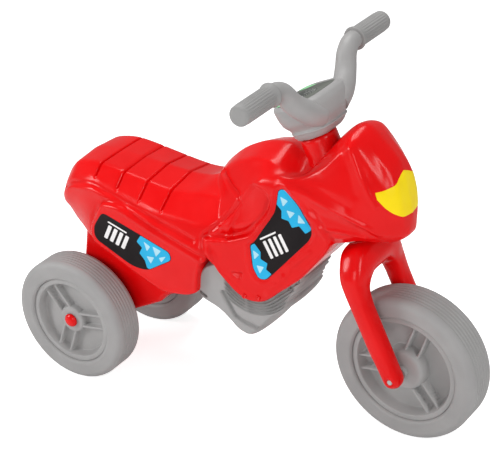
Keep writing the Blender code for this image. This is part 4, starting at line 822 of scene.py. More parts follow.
def cap(name, place):
    """Dome r = R cos t, h = base + H sin t, over a short straight foot, hollow where the axle ends."""
    t = np.linspace(0, math.pi / 2, 10)[:-1]
    base = REAR_HUB_FACE + RUN
    dome = np.column_stack([CAP_RADIUS * np.cos(t), base + CAP_FOOT + CAP_RISE * np.sin(t)])
    profile = np.vstack([[(CAP_BORE, base), (CAP_RADIUS - 0.0004, base), (CAP_RADIUS, base + 0.0005)], dome])
    inner, top = (0, 0, base + CAP_HOLLOW), (0, 0, base + CAP_FOOT + CAP_RISE)
    return mesh_object(name, *ended(revolved(profile, 48), inner, top), place)


for side, sign in (("right", 1), ("left", -1)):
    wheel = REAR_WHEELS[side]
    pieces = [(rim("rear_rim_surface_" + side, wheel, REAR_SEAT, REAR_WIDTH, REAR_HUB, REAR_HUB_FACE,
                   REAR_FIRST_PAIR * sign), "rear_rim_" + side, "moulded_grey"),
              (tyre("rear_tyre_surface_" + side, wheel, REAR_SEAT, REAR_RADIUS, REAR_WIDTH, REAR_SHOULDER),
               "rear_tyre_" + side, "tyre_grey"),
              (cap("rear_cap_surface_" + side, wheel), "rear_cap_" + side, "moulded_red")]
    for piece, node, slot in pieces:
        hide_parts(node)
        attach(piece, "body" if "cap" in node else "rear_wheel_" + side)
        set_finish(piece, slot)
for piece, node, slot in (
        (rim("front_rim_surface", FRONT_WHEEL, FRONT_SEAT, FRONT_WIDTH, FRONT_HUB, FRONT_HUB_FACE,
             FRONT_FIRST_PAIR), "front_rim", "moulded_grey"),
        (tyre("front_tyre_surface", FRONT_WHEEL, FRONT_SEAT, FRONT_RADIUS, FRONT_WIDTH, FRONT_SHOULDER),
         "front_tyre", "tyre_grey")):
    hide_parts(node)
    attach(piece, "front_wheel")
    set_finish(piece, slot)

# %% [markdown]
# ## Fork
# The fork is one hollow moulding shaped like an upturned U. A section is carried along the U, from one tip
# over the crown to the other tip. Each station has an inner and an outer point in the plane of the legs, and
# the depth in front and behind comes from the height above the axle.

# %% Fork
FORK_FRONT = [(-0.02, 0.0115), (0.02, 0.0115), (0.10, 0.0115), (0.13, 0.0150), (0.15, 0.0220),
              (0.17, 0.0270), (0.20, 0.0290)]
FORK_BACK = [(-0.02, 0.0115), (0.02, 0.0135), (0.05, 0.0160), (0.14, 0.0165), (0.16, 0.0145), (0.20, 0.0135)]
CROWN_TOP = 0.1856
LEG_TIP, TIP_ROUND, TIP_LEAST = -0.0130, 0.0120, 0.03
FORK_SQUARE = 2.7                     # power of the legs' cross section
HOLE_RADIUS, HOLE_DEEP, HOLE_FROM_Y = 0.0052, 0.0040, 0.058
# Place along the half U, then the inner and the outer point (half width, height above the axle)
FORK_STATIONS = [
    (0.00, 0.0345, LEG_TIP, 0.0625, LEG_TIP), (0.10, 0.0345, 0.010, 0.0625, 0.010),
    (0.45, 0.0345, 0.095, 0.0625, 0.100), (0.55, 0.0344, 0.114, 0.0625, 0.128),
    (0.63, 0.0332, 0.124, 0.0618, 0.1450), (0.70, 0.0300, 0.1315, 0.0580, 0.1580),
    (0.77, 0.0245, 0.1365, 0.0515, 0.1690), (0.84, 0.0180, 0.1395, 0.0440, 0.1780),
    (0.89, 0.0130, 0.1400, 0.0350, 0.1835), (0.94, 0.0075, 0.1400, 0.0200, CROWN_TOP),
    (1.00, 0.0, 0.1400, 0.0, CROWN_TOP)]


def superellipse(count, power):
    """Unit ring (sign(cos a) |cos a|^(2/n), sign(sin a) |sin a|^(2/n))."""
    angle = np.linspace(0, math.tau, count, endpoint=False)
    c, s = np.cos(angle), np.sin(angle)
    return np.stack([np.sign(c) * np.abs(c) ** (2 / power), np.sign(s) * np.abs(s) ** (2 / power)], axis=-1)


def fork_rings(along, around):
    """Rings over one leg and half the crown, tip first: middle + half width across + depth ahead or back."""
    table = np.array(FORK_STATIONS)
    in_y, in_w, out_y, out_w = (through(table[:, [0, k]], along) for k in range(1, 5))
    ring = superellipse(around, FORK_SQUARE)
    middle_y, middle_w = (in_y + out_y) / 2, (in_w + out_w) / 2
    half_y, half_w = (out_y - in_y) / 2, (out_w - in_w) / 2
    above_tip = np.clip((middle_w - LEG_TIP) / TIP_ROUND, 0, 1)
    tip = np.sqrt(np.clip(1 - (1 - above_tip) ** 2, TIP_LEAST, 1))
    front, back = through(FORK_FRONT, middle_w), through(FORK_BACK, middle_w)
    y = middle_y[:, None] + half_y[:, None] * ring[:, 0] * tip[:, None]
    w = middle_w[:, None] + half_w[:, None] * ring[:, 0]
    depth = np.where(ring[:, 1] > 0, front[:, None], back[:, None])
    return np.stack([depth * ring[:, 1] * tip[:, None], y, w], axis=-1)


tip_rows = 0.10 * (1 - np.cos(np.linspace(0, math.pi / 2, 14)))
along = np.concatenate([tip_rows, np.linspace(0.105, 1.0, 110)])
left_leg = fork_rings(along, 56)
right_leg = (left_leg * (1, -1, 1))[-2::-1]
fork_skin = softened(np.concatenate([left_leg, right_leg]), 2)
hole = np.clip(1 - (np.hypot(fork_skin[..., 0], fork_skin[..., 2]) / HOLE_RADIUS) ** 8, 0, 1)
fork_skin[..., 1] -= np.sign(fork_skin[..., 1]) * HOLE_DEEP * hole * (np.abs(fork_skin[..., 1]) > HOLE_FROM_Y)
fork_ends = fork_skin[0].mean(axis=0), fork_skin[-1].mean(axis=0)
fork = mesh_object("fork_skin", *ended(fork_skin, *fork_ends), STEERING)
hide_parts("fork")
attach(fork, "steering")
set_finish(fork, "moulded_red")

# %% [markdown]
# ## Handlebar
# The pod is a stack of rounded rectangles that widens quickly above a thin lip and closes in at the dash.
# Both bars leave its sides as thick tubes, climb, and thin out towards the grips. A tube is a circle carried
# along a curve, kept from twisting by taking its sideways direction from the same fixed up direction.

# %% Pod and bars
POD_LOW = 0.3344
POD_TALL = 0.0526
POD_TOP = POD_LOW + POD_TALL
POD_SQUARE, RECESS = 3.4, 0.0010
BAR_U, BAR_RISE = 0.036, 0.0836
GRIP_START, GRIP_END, GRIP_RADIUS = 0.0985, 0.1715, 0.0137
# Rise above the pod's foot, back, front and half width
POD = [(0.0, -0.0195, 0.0300, 0.0285), (0.0040, -0.0212, 0.0355, 0.0318), (0.0088, -0.0224, 0.0398, 0.0343),
       (0.0096, -0.0226, 0.0412, 0.0352), (0.0112, -0.0226, 0.0412, 0.0352),
       (0.0122, -0.0222, 0.0402, 0.0346), (0.0256, -0.0258, 0.0465, 0.0450),
       (0.0396, -0.0262, 0.0472, 0.0500), (0.0475, -0.0262, 0.0455, 0.0510),
       (0.0508, -0.0255, 0.0428, 0.0495), (0.0524, -0.0245, 0.0395, 0.0470),
       (POD_TALL, -0.0232, 0.0365, 0.0445)]
BAR_PATH = [(0.030, 0.022, 0.0270), (0.032, 0.038, 0.0345), (0.033, 0.050, 0.0440), (0.0325, 0.059, 0.0525),
            (0.033, 0.066, 0.0611), (0.0345, 0.0725, 0.0716), (0.036, 0.080, 0.0790), (BAR_U, 0.0870, 0.0825),
            (BAR_U, 0.0925, BAR_RISE), (BAR_U, 0.0985, BAR_RISE), (BAR_U, 0.110, BAR_RISE)]
BAR_RADIUS = [0.0165, 0.0158, 0.0150, 0.0144, 0.0139, 0.0134, 0.0129, 0.0125, 0.0122, 0.0121, 0.0100]


def pod_rings(rows, around):
    """Rounded rectangles: middle + half depth cos + half width sin, from the pod's foot to its rim."""
    rise = through(list(enumerate(row[0] for row in POD)), np.linspace(0, len(POD) - 1, rows))
    back, front, half = (through([(row[0], row[k]) for row in POD], rise) for k in (1, 2, 3))
    ring = superellipse(around, POD_SQUARE)
    u = (front + back)[:, None] / 2 + (front - back)[:, None] / 2 * ring[:, 0]
    y = half[:, None] * ring[:, 1]
    return np.stack([u, y, np.broadcast_to(POD_LOW + rise[:, None], u.shape)], axis=-1)


def tube(path, radii, around, rows):
    """Circle r (cos a side + sin a up) carried along a smooth curve through the path."""
    knots = np.array(path)
    key = np.concatenate([[0], np.cumsum(np.linalg.norm(np.diff(knots, axis=0), axis=1))])
    at = np.linspace(0, key[-1], rows)
    line = np.stack([through(np.column_stack([key, knots[:, k]]), at) for k in range(3)], axis=-1)
    line[1:-1] = (line[:-2] + 2 * line[1:-1] + line[2:]) / 4
    heading = np.gradient(line, axis=0)
    heading /= np.linalg.norm(heading, axis=1, keepdims=True)
    side = np.cross(heading, (1.0, 0.0, 0.0))
    side /= np.linalg.norm(side, axis=1, keepdims=True)
    up = np.cross(side, heading)
    radius = through(np.column_stack([key, radii]), at)
    angle = np.linspace(0, math.tau, around, endpoint=False)[None, :, None]
    spoke = np.cos(angle) * side[:, None] + np.sin(angle) * up[:, None]
    return line[:, None] + radius[:, None, None] * spoke


pod = pod_rings(60, 96)
floor_ring = pod[-1] * (0.97, 0.97, 1) - (0, 0, RECESS)
pod = np.concatenate([pod, pod[-1:] * (0.985, 0.985, 1), floor_ring[None]])
bar = tube([(u, -y, POD_LOW + rise) for u, y, rise in BAR_PATH], BAR_RADIUS, 48, 70)
points, faces = several([faced(pod), faced(bar), faced(bar * (1, -1, 1))], [STEERING] * 3)
handlebar = mesh_object("handlebar_skin", points, faces)
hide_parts("handlebar")
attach(handlebar, "steering")
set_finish(handlebar, "moulded_grey")

# %% [markdown]
# ### Grips
# Each grip is a slipped-on sleeve with a flange towards the thumb and a closed end. Low ribs run along it.
# The sleeve is a turned profile, and the ribs are a cosine round it that fades at both ends.

# %% Grips
GRIP_RIBS, GRIP_RIB_HIGH, GRIP_AROUND = 24, 0.00045, 120
# Radius and height over the grip's start, then radius and depth under its end
FLANGE = [(0.0123, 0), (0.0150, 0), (0.0160, 0.0008), (0.0163, 0.0022), (0.0160, 0.0036), (0.0148, 0.0056),
          (0.0138, 0.0078)]
GRIP_TIP = [(0.0136, 0.0025), (0.0129, 0.0008), (0.0118, 0.0001), (0.0090, 0)]


def grip(name, place):
    """r + d cos(n a), with d fading to nothing at the flange and at the end."""
    profile = [(radius, GRIP_START + over) for radius, over in FLANGE]
    profile += [(GRIP_RADIUS, h) for h in np.linspace(GRIP_START + 0.010, GRIP_END - 0.006, 20)]
    profile += [(radius, GRIP_END - under) for radius, under in GRIP_TIP]
    rings = revolved(profile, GRIP_AROUND)
    height = np.array(profile)[:, 1]
    fade = smooth_step(height, GRIP_START + 0.009, GRIP_START + 0.012)
    fade *= 1 - smooth_step(height, GRIP_END - 0.009, GRIP_END - 0.005)
    turn = np.linspace(0, math.tau, GRIP_AROUND, endpoint=False)
    ripple = GRIP_RIB_HIGH / GRIP_RADIUS * np.cos(GRIP_RIBS * turn)
    rings[..., :2] *= 1 + ripple[None, :, None] * fade[:, None, None]
    return mesh_object(name, *ended(rings, (0, 0, GRIP_START), (0, 0, GRIP_END)), place)


for side, sign in (("right", 1), ("left", -1)):
    place = STEERING @ Matrix.Translation((BAR_U, 0, POD_LOW + BAR_RISE)) @ Matrix.Rotation(
        math.radians(90 * sign), 4, "X")
    piece = grip("grip_surface_" + side, place)
    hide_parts("grip_" + side)
    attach(piece, "steering")
    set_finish(piece, "grip_grey")

# %% [markdown]
# ## Engine
# A grey moulding stands for engine and exhaust. It is a barrel between the belly walls: the side outline is
# repeated across the width and shrinks a little towards both faces, which run in to a point each. Ribs follow
# the edge of the belly at even distances, and they stop at the smooth pipe behind them.

# %% Engine
ENGINE = [(0.186, 0.207, 0.014), (0.162, 0.194, 0.014), (0.153, 0.165, 0.014), (0.156, 0.141, 0.008),
          (0.190, 0.128, 0.012), (0.208, 0.113, 0.010), (0.222, 0.099, 0.010), (0.242, 0.093, 0.012),
          (0.268, 0.127, 0.010), (0.293, 0.154, 0.004), (0.294, 0.167, 0.004), (0.303, 0.182, 0.008),
          (0.311, 0.199, 0.008), (0.311, 0.214, 0.004), (0.312, 0.229, 0.010), (0.314, 0.239, 0.008),
          (0.306, 0.246, 0), (0.290, 0.234, 0), (0.262, 0.212, 0), (0.235, 0.203, 0)]
ENGINE_MIDDLE = np.array((0.235, 0.175))
ENGINE_ROUNDING = 0.14
ENGINE_WALL = 0.0045
TAPER_X, TAPER = 0.262, 0.25
RIB_STEP, RIB_DEEP, RIB_REACH, RIB_FADE = 0.0044, 0.0014, 0.0220, 0.003
SEAM_DEEP, SEAM_WIDE = 0.0034, 0.0026
SLOT_DEEP, SLOT_WIDE = 0.0040, 0.0018
AROUND_MOST, AROUND_SHARE = 0.0032, 0.9        # relief on the rounded edge, at most and against the faces'
# Where the pipe meets the ribs, and the slots in the front ribs: (x, z)
PIPE_EDGE = [(0.2000, 0.1600), (0.2057, 0.1497), (0.2185, 0.1283), (0.2348, 0.1213), (0.2542, 0.1169)]
SLOTS = [[(0.2960, 0.2210), (0.3120, 0.2060)], [(0.2880, 0.2090), (0.3040, 0.1940)],
         [(0.2790, 0.1970), (0.2950, 0.1820)], [(0.1600, 0.1545), (0.1740, 0.1475)]]


def engine_face(x):
    """Half width inside the belly walls, narrowing faster ahead of the plugs."""
    return belly_side(x) - ENGINE_WALL - TAPER * np.maximum(x - TAPER_X, 0)


def line_distance(x, z, line):
    """Distance to an open line, without the sign that a closed outline gives."""
    line = np.array(line)
    return np.abs(polygon_distance(x, z, line[:, 0], line[:, 1], closed=False))


def engine_relief(x, z):
    """Ripple with the distance from the belly's edge, less the pipe's seam and the slots."""
    off = belly_field(x, z)
    edge_x, edge_z = np.array(PIPE_EDGE[::-1]).T
    side_of_pipe = smooth_step(x - np.interp(z, edge_z, edge_x), 0.001, 0.007)
    ripple = RIB_DEEP * (np.cos(math.tau * off / RIB_STEP) - 1) * side_of_pipe
    ripple *= 1 - smooth_step(off, RIB_REACH - RIB_FADE, RIB_REACH)
    seam = -SEAM_DEEP * np.exp(-(line_distance(x, z, PIPE_EDGE) / SEAM_WIDE) ** 2)
    slots = sum(-SLOT_DEEP * np.exp(-(line_distance(x, z, slot) / SLOT_WIDE) ** 4) for slot in SLOTS)
    return ripple + seam + slots


def engine_rings(across, inward):
    """Barrel rings between the faces, and face rings that shrink to the middle."""
    outline = evenly(rounded_outline(ENGINE), 0.0016)
    share = np.sin(np.linspace(-math.pi / 2, math.pi / 2, across))
    shrink = 1 - ENGINE_ROUNDING * (1 - np.sqrt(1 - share ** 2))
    face = (1 - ENGINE_ROUNDING) * np.linspace(0.02, 1, inward)[:-1]
    shrink = np.concatenate([face, shrink, face[::-1]])
    share = np.concatenate([-np.ones(len(face)), share, np.ones(len(face))])
    place = ENGINE_MIDDLE + (outline - ENGINE_MIDDLE) * shrink[:, None, None]
    x, z = place[..., 0], place[..., 1]
    lift = engine_relief(x, z) * np.abs(share[:, None]) ** 4
    return np.stack([x, share[:, None] * (engine_face(x) + lift), z], axis=-1)


engine_skin = engine_rings(60, 60)
normal = grid_normals(engine_skin)
around_lift = engine_relief(engine_skin[..., 0], engine_skin[..., 2])
around_lift = around_lift * (np.abs(engine_skin[..., 1]) < 0.999 * engine_face(engine_skin[..., 0]))
outside = np.sign(np.sum(normal * (engine_skin - (ENGINE_MIDDLE[0], 0, ENGINE_MIDDLE[1])), axis=-1).mean())
engine_skin = engine_skin + normal * outside * np.maximum(around_lift, -AROUND_MOST)[..., None] * AROUND_SHARE
engine_ends = engine_skin[0].mean(axis=0), engine_skin[-1].mean(axis=0)
engine = mesh_object("engine_skin", *ended(engine_skin, *engine_ends), BODY)
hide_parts("engine_block")
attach(engine, "body")
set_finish(engine, "moulded_grey")

# %% [markdown]
# ## Stickers
# The stickers are thin films, cut to rounded outlines and laid on flat beds. The print is a black field with
# plain white bars and cyan fields of pale triangles, in a layout of its own. Each colour is a film of its own
# thickness over the black one, so its edge stays crisp at any distance.

# %% Side stickers
PANEL_FILM = PANEL_SIDE + 0.0002
BED_FILM = -0.0007                    # below the belly's face
FILM = 0.0007
PRINT = 0.00006


def sheet(outline, inner, outer, to_left):
    """Flat film between two distances from the centre line, with a small round edge."""
    sign = 1 if to_left else -1
    rings = pillow(evenly(outline, 0.0015), lambda x, z: inner(x), lambda x, z: outer(x), 0.00015, 2)
    return rings[..., [0, 2, 1]] * (1, sign, 1)


def along_film(origin, tilt, shapes):
    """Drawn shapes (right, up, radius) turned by the tilt and moved to the origin on the film."""
    c, s = math.cos(math.radians(tilt)), math.sin(math.radians(tilt))
    return [[(origin[0] + c * a - s * b, origin[1] + s * a + c * b, radius) for a, b, radius in shape]
            for shape in shapes]


def slanted(left, low, right, high, lean=0.004, radius=0.001):
    """Bar with its upper corners leaning forward."""
    return [(left, low, radius), (right, low, radius),
            (right + lean, high, radius), (left + lean, high, radius)]


REAR_WHITE = along_film((0.010, 0.193), -14, [
    slanted(0.000, 0.000, 0.006, 0.024), slanted(0.010, 0.000, 0.016, 0.024),
    slanted(0.020, 0.000, 0.026, 0.024), slanted(0.001, 0.027, 0.034, 0.0295, 0.001, 0.0005),
    slanted(0.030, 0.000, 0.036, 0.024)])
REAR_CYAN = [[(0.074, 0.2155, 0.001), (0.067, 0.2040, 0.001), (0.076, 0.1970, 0.001), (0.071, 0.1870, 0.001),
              (0.080, 0.1780, 0.001), (0.084, 0.1640, 0.008), (0.1245, 0.1928, 0.006),
              (0.1215, 0.2038, 0.008)]]
REAR_PALE = [[(0.079, 0.208, 0.001), (0.090, 0.203, 0.001), (0.084, 0.194, 0.001)],
             [(0.094, 0.205, 0.001), (0.108, 0.202, 0.001), (0.099, 0.190, 0.001)],
             [(0.083, 0.186, 0.001), (0.096, 0.188, 0.001), (0.090, 0.176, 0.001)],
             [(0.104, 0.190, 0.001), (0.116, 0.196, 0.001), (0.108, 0.184, 0.001)]]
FRONT_WHITE = along_film((0.2740, 0.2350), 36, [
    slanted(0.000, 0.000, 0.005, 0.026), slanted(0.009, 0.000, 0.014, 0.026),
    slanted(0.018, 0.000, 0.023, 0.026), slanted(0.002, 0.029, 0.030, 0.0315, 0.001, 0.0005),
    slanted(0.027, 0.000, 0.032, 0.026)])
FRONT_CYAN = [[(0.2925, 0.3440, 0.005), (0.2848, 0.3403, 0.004), (0.2822, 0.3190, 0.001),
               (0.2890, 0.3120, 0.001), (0.2890, 0.3000, 0.001), (0.2990, 0.2990, 0.001),
               (0.3040, 0.2900, 0.001), (0.3140, 0.2950, 0.001), (0.3230, 0.2860, 0.001),
               (0.3318, 0.2938, 0.003), (0.3124, 0.3242, 0.007)],
              [(0.2445, 0.2480, 0.003), (0.2480, 0.2152, 0.005), (0.2565, 0.1998, 0.007),
               (0.2670, 0.2016, 0.004), (0.2750, 0.2120, 0.001), (0.2670, 0.2170, 0.001),
               (0.2690, 0.2270, 0.001), (0.2590, 0.2310, 0.001), (0.2590, 0.2420, 0.001),
               (0.2500, 0.2525, 0.001)]]
FRONT_PALE = [[(0.2870, 0.3320, 0.001), (0.2980, 0.3280, 0.001), (0.2910, 0.3180, 0.001)],
              [(0.2960, 0.3140, 0.001), (0.3080, 0.3130, 0.001), (0.3010, 0.3030, 0.001)],
              [(0.3130, 0.3120, 0.001), (0.3230, 0.3010, 0.001), (0.3120, 0.2990, 0.001)],
              [(0.2480, 0.2420, 0.001), (0.2570, 0.2370, 0.001), (0.2500, 0.2280, 0.001)],
              [(0.2530, 0.2200, 0.001), (0.2640, 0.2200, 0.001), (0.2580, 0.2080, 0.001)]]


def films(name, slot, shapes, replaced=()):
    """One piece from film shapes on both sides of the body: (outline, lower face, upper face) each."""
    parts = []
    for corners, inner, outer in shapes:
        outline = rounded_outline(corners, 4)
        parts += [faced(sheet(outline, inner, outer, to_left)) for to_left in (False, True)]
    points, faces = several(parts, [BODY] * len(parts))
    piece = mesh_object(name, points, faces, smooth=False)
    if replaced:
        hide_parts(*replaced)
    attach(piece, "body")
    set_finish(piece, slot)
    return piece


def on_panel(base, thick):
    """Lower and upper face of a film on the rear panel, as functions of x."""
    return (lambda x: 0 * x + PANEL_FILM + base - thick), (lambda x: 0 * x + PANEL_FILM + base)


def on_bed(base, thick):
    """Lower and upper face of a film on the front sticker's bed, as functions of x."""
    return (lambda x: belly_side(x) + BED_FILM + base - thick), (lambda x: belly_side(x) + BED_FILM + base)


def printed(rear, front, level):
    """Shapes of one colour on both films, so many layers of print over the black."""
    return ([(shape, *on_panel(level * PRINT, 2 * PRINT)) for shape in rear]
            + [(shape, *on_bed(level * PRINT, 2 * PRINT)) for shape in front])


sides = ("right", "left")
black_film = films("sticker_black", "decal_black",
                   [(REAR_STICKER, *on_panel(0, FILM)), (FRONT_STICKER, *on_bed(0, FILM))],
                   [f"side_decal_{end}_{side}" for end in ("rear", "front") for side in sides])
cyan_film = films("sticker_cyan", "decal_black", printed(REAR_CYAN, FRONT_CYAN, 1))
pale_film = films("sticker_pale", "decal_black", printed(REAR_PALE, FRONT_PALE, 2))
white_film = films("sticker_white", "decal_black", printed(REAR_WHITE, FRONT_WHITE, 1))

# %% [markdown]
# ### Headlight film
# The yellow film is drawn flat ahead of the nose, as a grid over its half width and between its two edges.
# Blender's Shrinkwrap then lays the grid back on the finished skin, so the film follows every bend of it.

# %% Headlight
LIGHT_TOP = [(-0.0415, 0.3690), (-0.0330, 0.3715), (-0.0215, 0.3752), (-0.0110, 0.3810), (0.0, 0.3860)]
LIGHT_LOW = [(-0.0415, 0.3600), (-0.0360, 0.3470), (-0.0280, 0.3370), (-0.0170, 0.3305), (0.0, 0.3290)]
LIGHT_HALF = 0.0415
LIGHT_LIFT, LIGHT_THICK = 0.0004, 0.0008


def laid_on(grid, target):
    """The grid's points after Shrinkwrap has moved each one back along x to the target's skin."""
    mesh = bpy.data.meshes.new("flat_film")
    mesh.from_pydata(grid.reshape(-1, 3).tolist(), [], [])
    flat = bpy.data.objects.new("flat_film", mesh)
    bpy.context.scene.collection.objects.link(flat)
    wrap = flat.modifiers.new("laid", "SHRINKWRAP")
    wrap.wrap_method = "PROJECT"
    wrap.use_project_x = True
    wrap.use_positive_direction, wrap.use_negative_direction = False, True
    wrap.target = target
    wrapped = flat.evaluated_get(bpy.context.evaluated_depsgraph_get()).data
    moved = np.empty(grid.size)
    wrapped.vertices.foreach_get("co", moved)
    bpy.data.objects.remove(flat, do_unlink=True)
    return moved.reshape(grid.shape)


def light_grid(rows, columns):
    """Grid over the half width and between the lower and upper edges, laid on the nose, with its outward
    normals.
    """
    across = np.sin(np.linspace(-math.pi / 2, math.pi / 2, columns)) * LIGHT_HALF
    top = through(LIGHT_TOP, -np.abs(across))
    low = through(LIGHT_LOW, -np.abs(across))
    t = np.linspace(0, 1, rows)[:, None]
    z = low + (top - low) * t
    flat = np.stack([np.full(z.shape, BODY_FRONT_X), np.broadcast_to(across, z.shape), z], axis=-1)
    grid = laid_on(placed(flat, BODY), body)
    across_way, upward = np.gradient(grid, axis=1), np.gradient(grid, axis=0)
    normal = np.cross(across_way, upward)
    normal /= np.maximum(np.linalg.norm(normal, axis=-1, keepdims=True), 1e-12)
    print("headlight laid on, x from", grid[..., 0].min().round(4), "to", grid[..., 0].max().round(4))
    return grid, normal * np.sign(normal[..., 0].mean())


def slab_between(front, back):
    """Closed plate from two grids of the same size and the rim between them."""
    rows, columns = front.shape[:2]
    both = np.concatenate([front.reshape(-1, 3), back.reshape(-1, 3)])
    index = np.arange(rows * columns).reshape(rows, columns)
    quads = np.stack([index[:-1, :-1], index[:-1, 1:], index[1:, 1:], index[1:, :-1]], axis=-1).reshape(-1, 4)
    rim_loop = np.concatenate([index[0], index[1:, -1], index[-1, -2::-1], index[-2:0:-1, 0]])
    after = np.roll(rim_loop, -1)
    wall = np.stack([after, rim_loop, rim_loop + rows * columns, after + rows * columns], axis=-1)
    return both, [quads, quads[:, ::-1] + rows * columns, wall]


light, light_normal = light_grid(48, 80)
headlight = mesh_object("headlight_film", *slab_between(light + light_normal * LIGHT_LIFT,
                                                        light + light_normal * (LIGHT_LIFT - LIGHT_THICK)))
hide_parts("headlight_decal")
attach(headlight, "body")
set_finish(headlight, "lamp_yellow")

# %% [markdown]
# ### Dash
# The dash is a printed film in the pod's shallow recess. Its dial is generic: a ring, plain ticks and a
# needle.

# %% Dash film, dial and corners
DASH = [(-0.0212, -0.0400, 0.008), (0.0335, -0.0375, 0.008),
        (0.0335, 0.0375, 0.008), (-0.0212, 0.0400, 0.008)]
DASH_LEVEL = POD_TOP - 0.0002
DIAL_MIDDLE, DISC_RADIUS = (0.006, 0.0), 0.0165


def dash_sheet(outline, level, thick):
    """Flat film whose upper face lies at the level."""
    rings = pillow(outline, lambda u, y: 0 * u + level - thick, lambda u, y: 0 * u + level, 0.00002, 1)
    return faced(rings)


def dash_piece(name, slot, outlines, level, thick, replaced=None):
    """One piece from several flat outlines on the dash."""
    sheets = [dash_sheet(outline, level, thick) for outline in outlines]
    points, faces = several(sheets, [STEERING] * len(sheets))
    piece = mesh_object(name, points, faces, smooth=False)
    if replaced:
        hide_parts(replaced)
    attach(piece, "steering")
    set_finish(piece, slot)
    return piece


def tick(angle, inner, outer, wide):
    """Thin bar that points away from the dial's middle."""
    out = np.array((math.cos(angle), math.sin(angle)))
    side = np.array((-out[1], out[0])) * wide / 2
    middle = np.array(DIAL_MIDDLE)
    return np.array([middle + out * inner - side, middle + out * outer - side,
                     middle + out * outer + side, middle + out * inner + side])


ring_angle = np.linspace(0, math.tau, 48, endpoint=False)
ticks = [tick(math.radians(a), 0.0115, 0.0145, 0.0010) for a in range(-120, 121, 24)]
ticks += [tick(math.radians(a), 0.0130, 0.0145, 0.0006) for a in range(-108, 109, 24)]
ticks.append(tick(math.radians(40), -0.002, 0.0105, 0.0012))
corner = [(-0.0203, -0.0390, 0.004), (0.0000, -0.0380, 0.001), (-0.0080, -0.0270, 0.001),
          (-0.0203, -0.0220, 0.001)]
corners = [rounded_outline(corner, 3), rounded_outline([(u, -y, r) for u, y, r in corner[::-1]], 3)]
disc = np.array(DIAL_MIDDLE) + DISC_RADIUS * np.column_stack([np.cos(ring_angle), np.sin(ring_angle)])
dash_film = dash_piece("dash_film", "dash_dark", [evenly(rounded_outline(DASH), 0.0015)], DASH_LEVEL, 0.0007,
                       "dash_decal")
dash_disc = dash_piece("dash_disc", "dash_dark", [disc], DASH_LEVEL + 0.00005, 0.0001)
dash_marks = dash_piece("dash_marks", "dash_dark", ticks, DASH_LEVEL + 0.0001, 0.0001)
dash_corners = dash_piece("dash_corners", "dash_dark", corners, DASH_LEVEL + 0.00005, 0.0001)

# %% [markdown]
# ## Materials
# Nothing moulded is one flat colour. Each plastic gets slow mottling, uneven gloss, soft waves left by
# shrinkage, a fine grain and a few handling scuffs, all at their real size on Object coordinates.
# The same function makes every plastic from its colour, gloss and texture depths.

# %% Plastics, films and steel
def node(tree, kind, inputs=(), **settings):
    """New shader node with its settings, and (socket, value or output) pairs for its inputs."""
    made = tree.nodes.new(kind)
    for key, value in settings.items():
        setattr(made, key, value)
    for socket, value in dict(inputs).items():
        if isinstance(value, bpy.types.NodeSocket):
            tree.links.new(value, made.inputs[socket])
        else:
            made.inputs[socket].default_value = value
    return made


def noise(tree, place, size, detail=2.0, stretch=(1, 1, 1)):
    """Value noise whose lumps are about the given size in metres."""
    mapping = node(tree, "ShaderNodeMapping", {"Vector": place, "Scale": stretch})
    return node(tree, "ShaderNodeTexNoise", {"Vector": mapping.outputs[0], "Scale": 1 / size,
                                             "Detail": detail}).outputs["Fac"]


def ranged(tree, value, low, high, to_low, to_high):
    """The value, carried in a straight line from one range to another and held at its ends."""
    return node(tree, "ShaderNodeMapRange", {"Value": value, "From Min": low, "From Max": high,
                                             "To Min": to_low, "To Max": to_high}).outputs["Result"]


def plastic(name, colour, roughness, wave=0.0003, grain=0.00001, grain_size=0.0008, specular=0.4,
            scuffs=0.12, mottle=0.06):
    """Principled plastic with mottling, uneven gloss, waves, grain and scuffs."""
    made = bpy.data.materials.new(name)
    made.use_nodes = True
    tree = made.node_tree
    shader = tree.nodes["Principled BSDF"]
    place = node(tree, "ShaderNodeTexCoord").outputs["Object"]
    slow = noise(tree, place, 0.045, 3.0)
    scuff = ranged(tree, noise(tree, place, 0.012, 6.0, (1, 3, 0.6)), 0.60, 0.72, 0.0, 1.0)
    dark = tuple(c * (1 - mottle) for c in colour)
    light = tuple(min(c * (1 + mottle) + 0.004, 1.0) for c in colour)
    tone = node(tree, "ShaderNodeMix", {"Factor": ranged(tree, slow, 0.3, 0.7, 0.0, 1.0)}, data_type="RGBA")
    for socket in tone.inputs:
        if socket.type == "RGBA":
            socket.default_value = (*(dark if socket.identifier.startswith("A") else light), 1)
    tree.links.new(tone.outputs[2], shader.inputs["Base Color"])
    uneven = ranged(tree, noise(tree, place, 0.020, 4.0), 0.3, 0.7, roughness - 0.04, roughness + 0.04)
    total = node(tree, "ShaderNodeMath", {0: scuff, 1: scuffs, 2: uneven}, operation="MULTIPLY_ADD")
    tree.links.new(total.outputs[0], shader.inputs["Roughness"])
    fine = node(tree, "ShaderNodeBump", {"Height": noise(tree, place, grain_size, 2.0), "Distance": grain,
                                         "Strength": 1.0})
    waves = node(tree, "ShaderNodeBump", {"Height": noise(tree, place, 0.030, 1.5), "Distance": wave,
                                          "Strength": 1.0, "Normal": fine.outputs[0]})
    tree.links.new(waves.outputs[0], shader.inputs["Normal"])
    shader.inputs["Specular IOR Level"].default_value = specular
    return made


def metal(name, colour, roughness):
    """A plastic's material made metallic, without its wave and with a finer grain."""
    made = plastic(name, colour, roughness, wave=0.0, grain=0.00002, grain_size=0.0004)
    made.node_tree.nodes["Principled BSDF"].inputs["Metallic"].default_value = 1.0
    return made


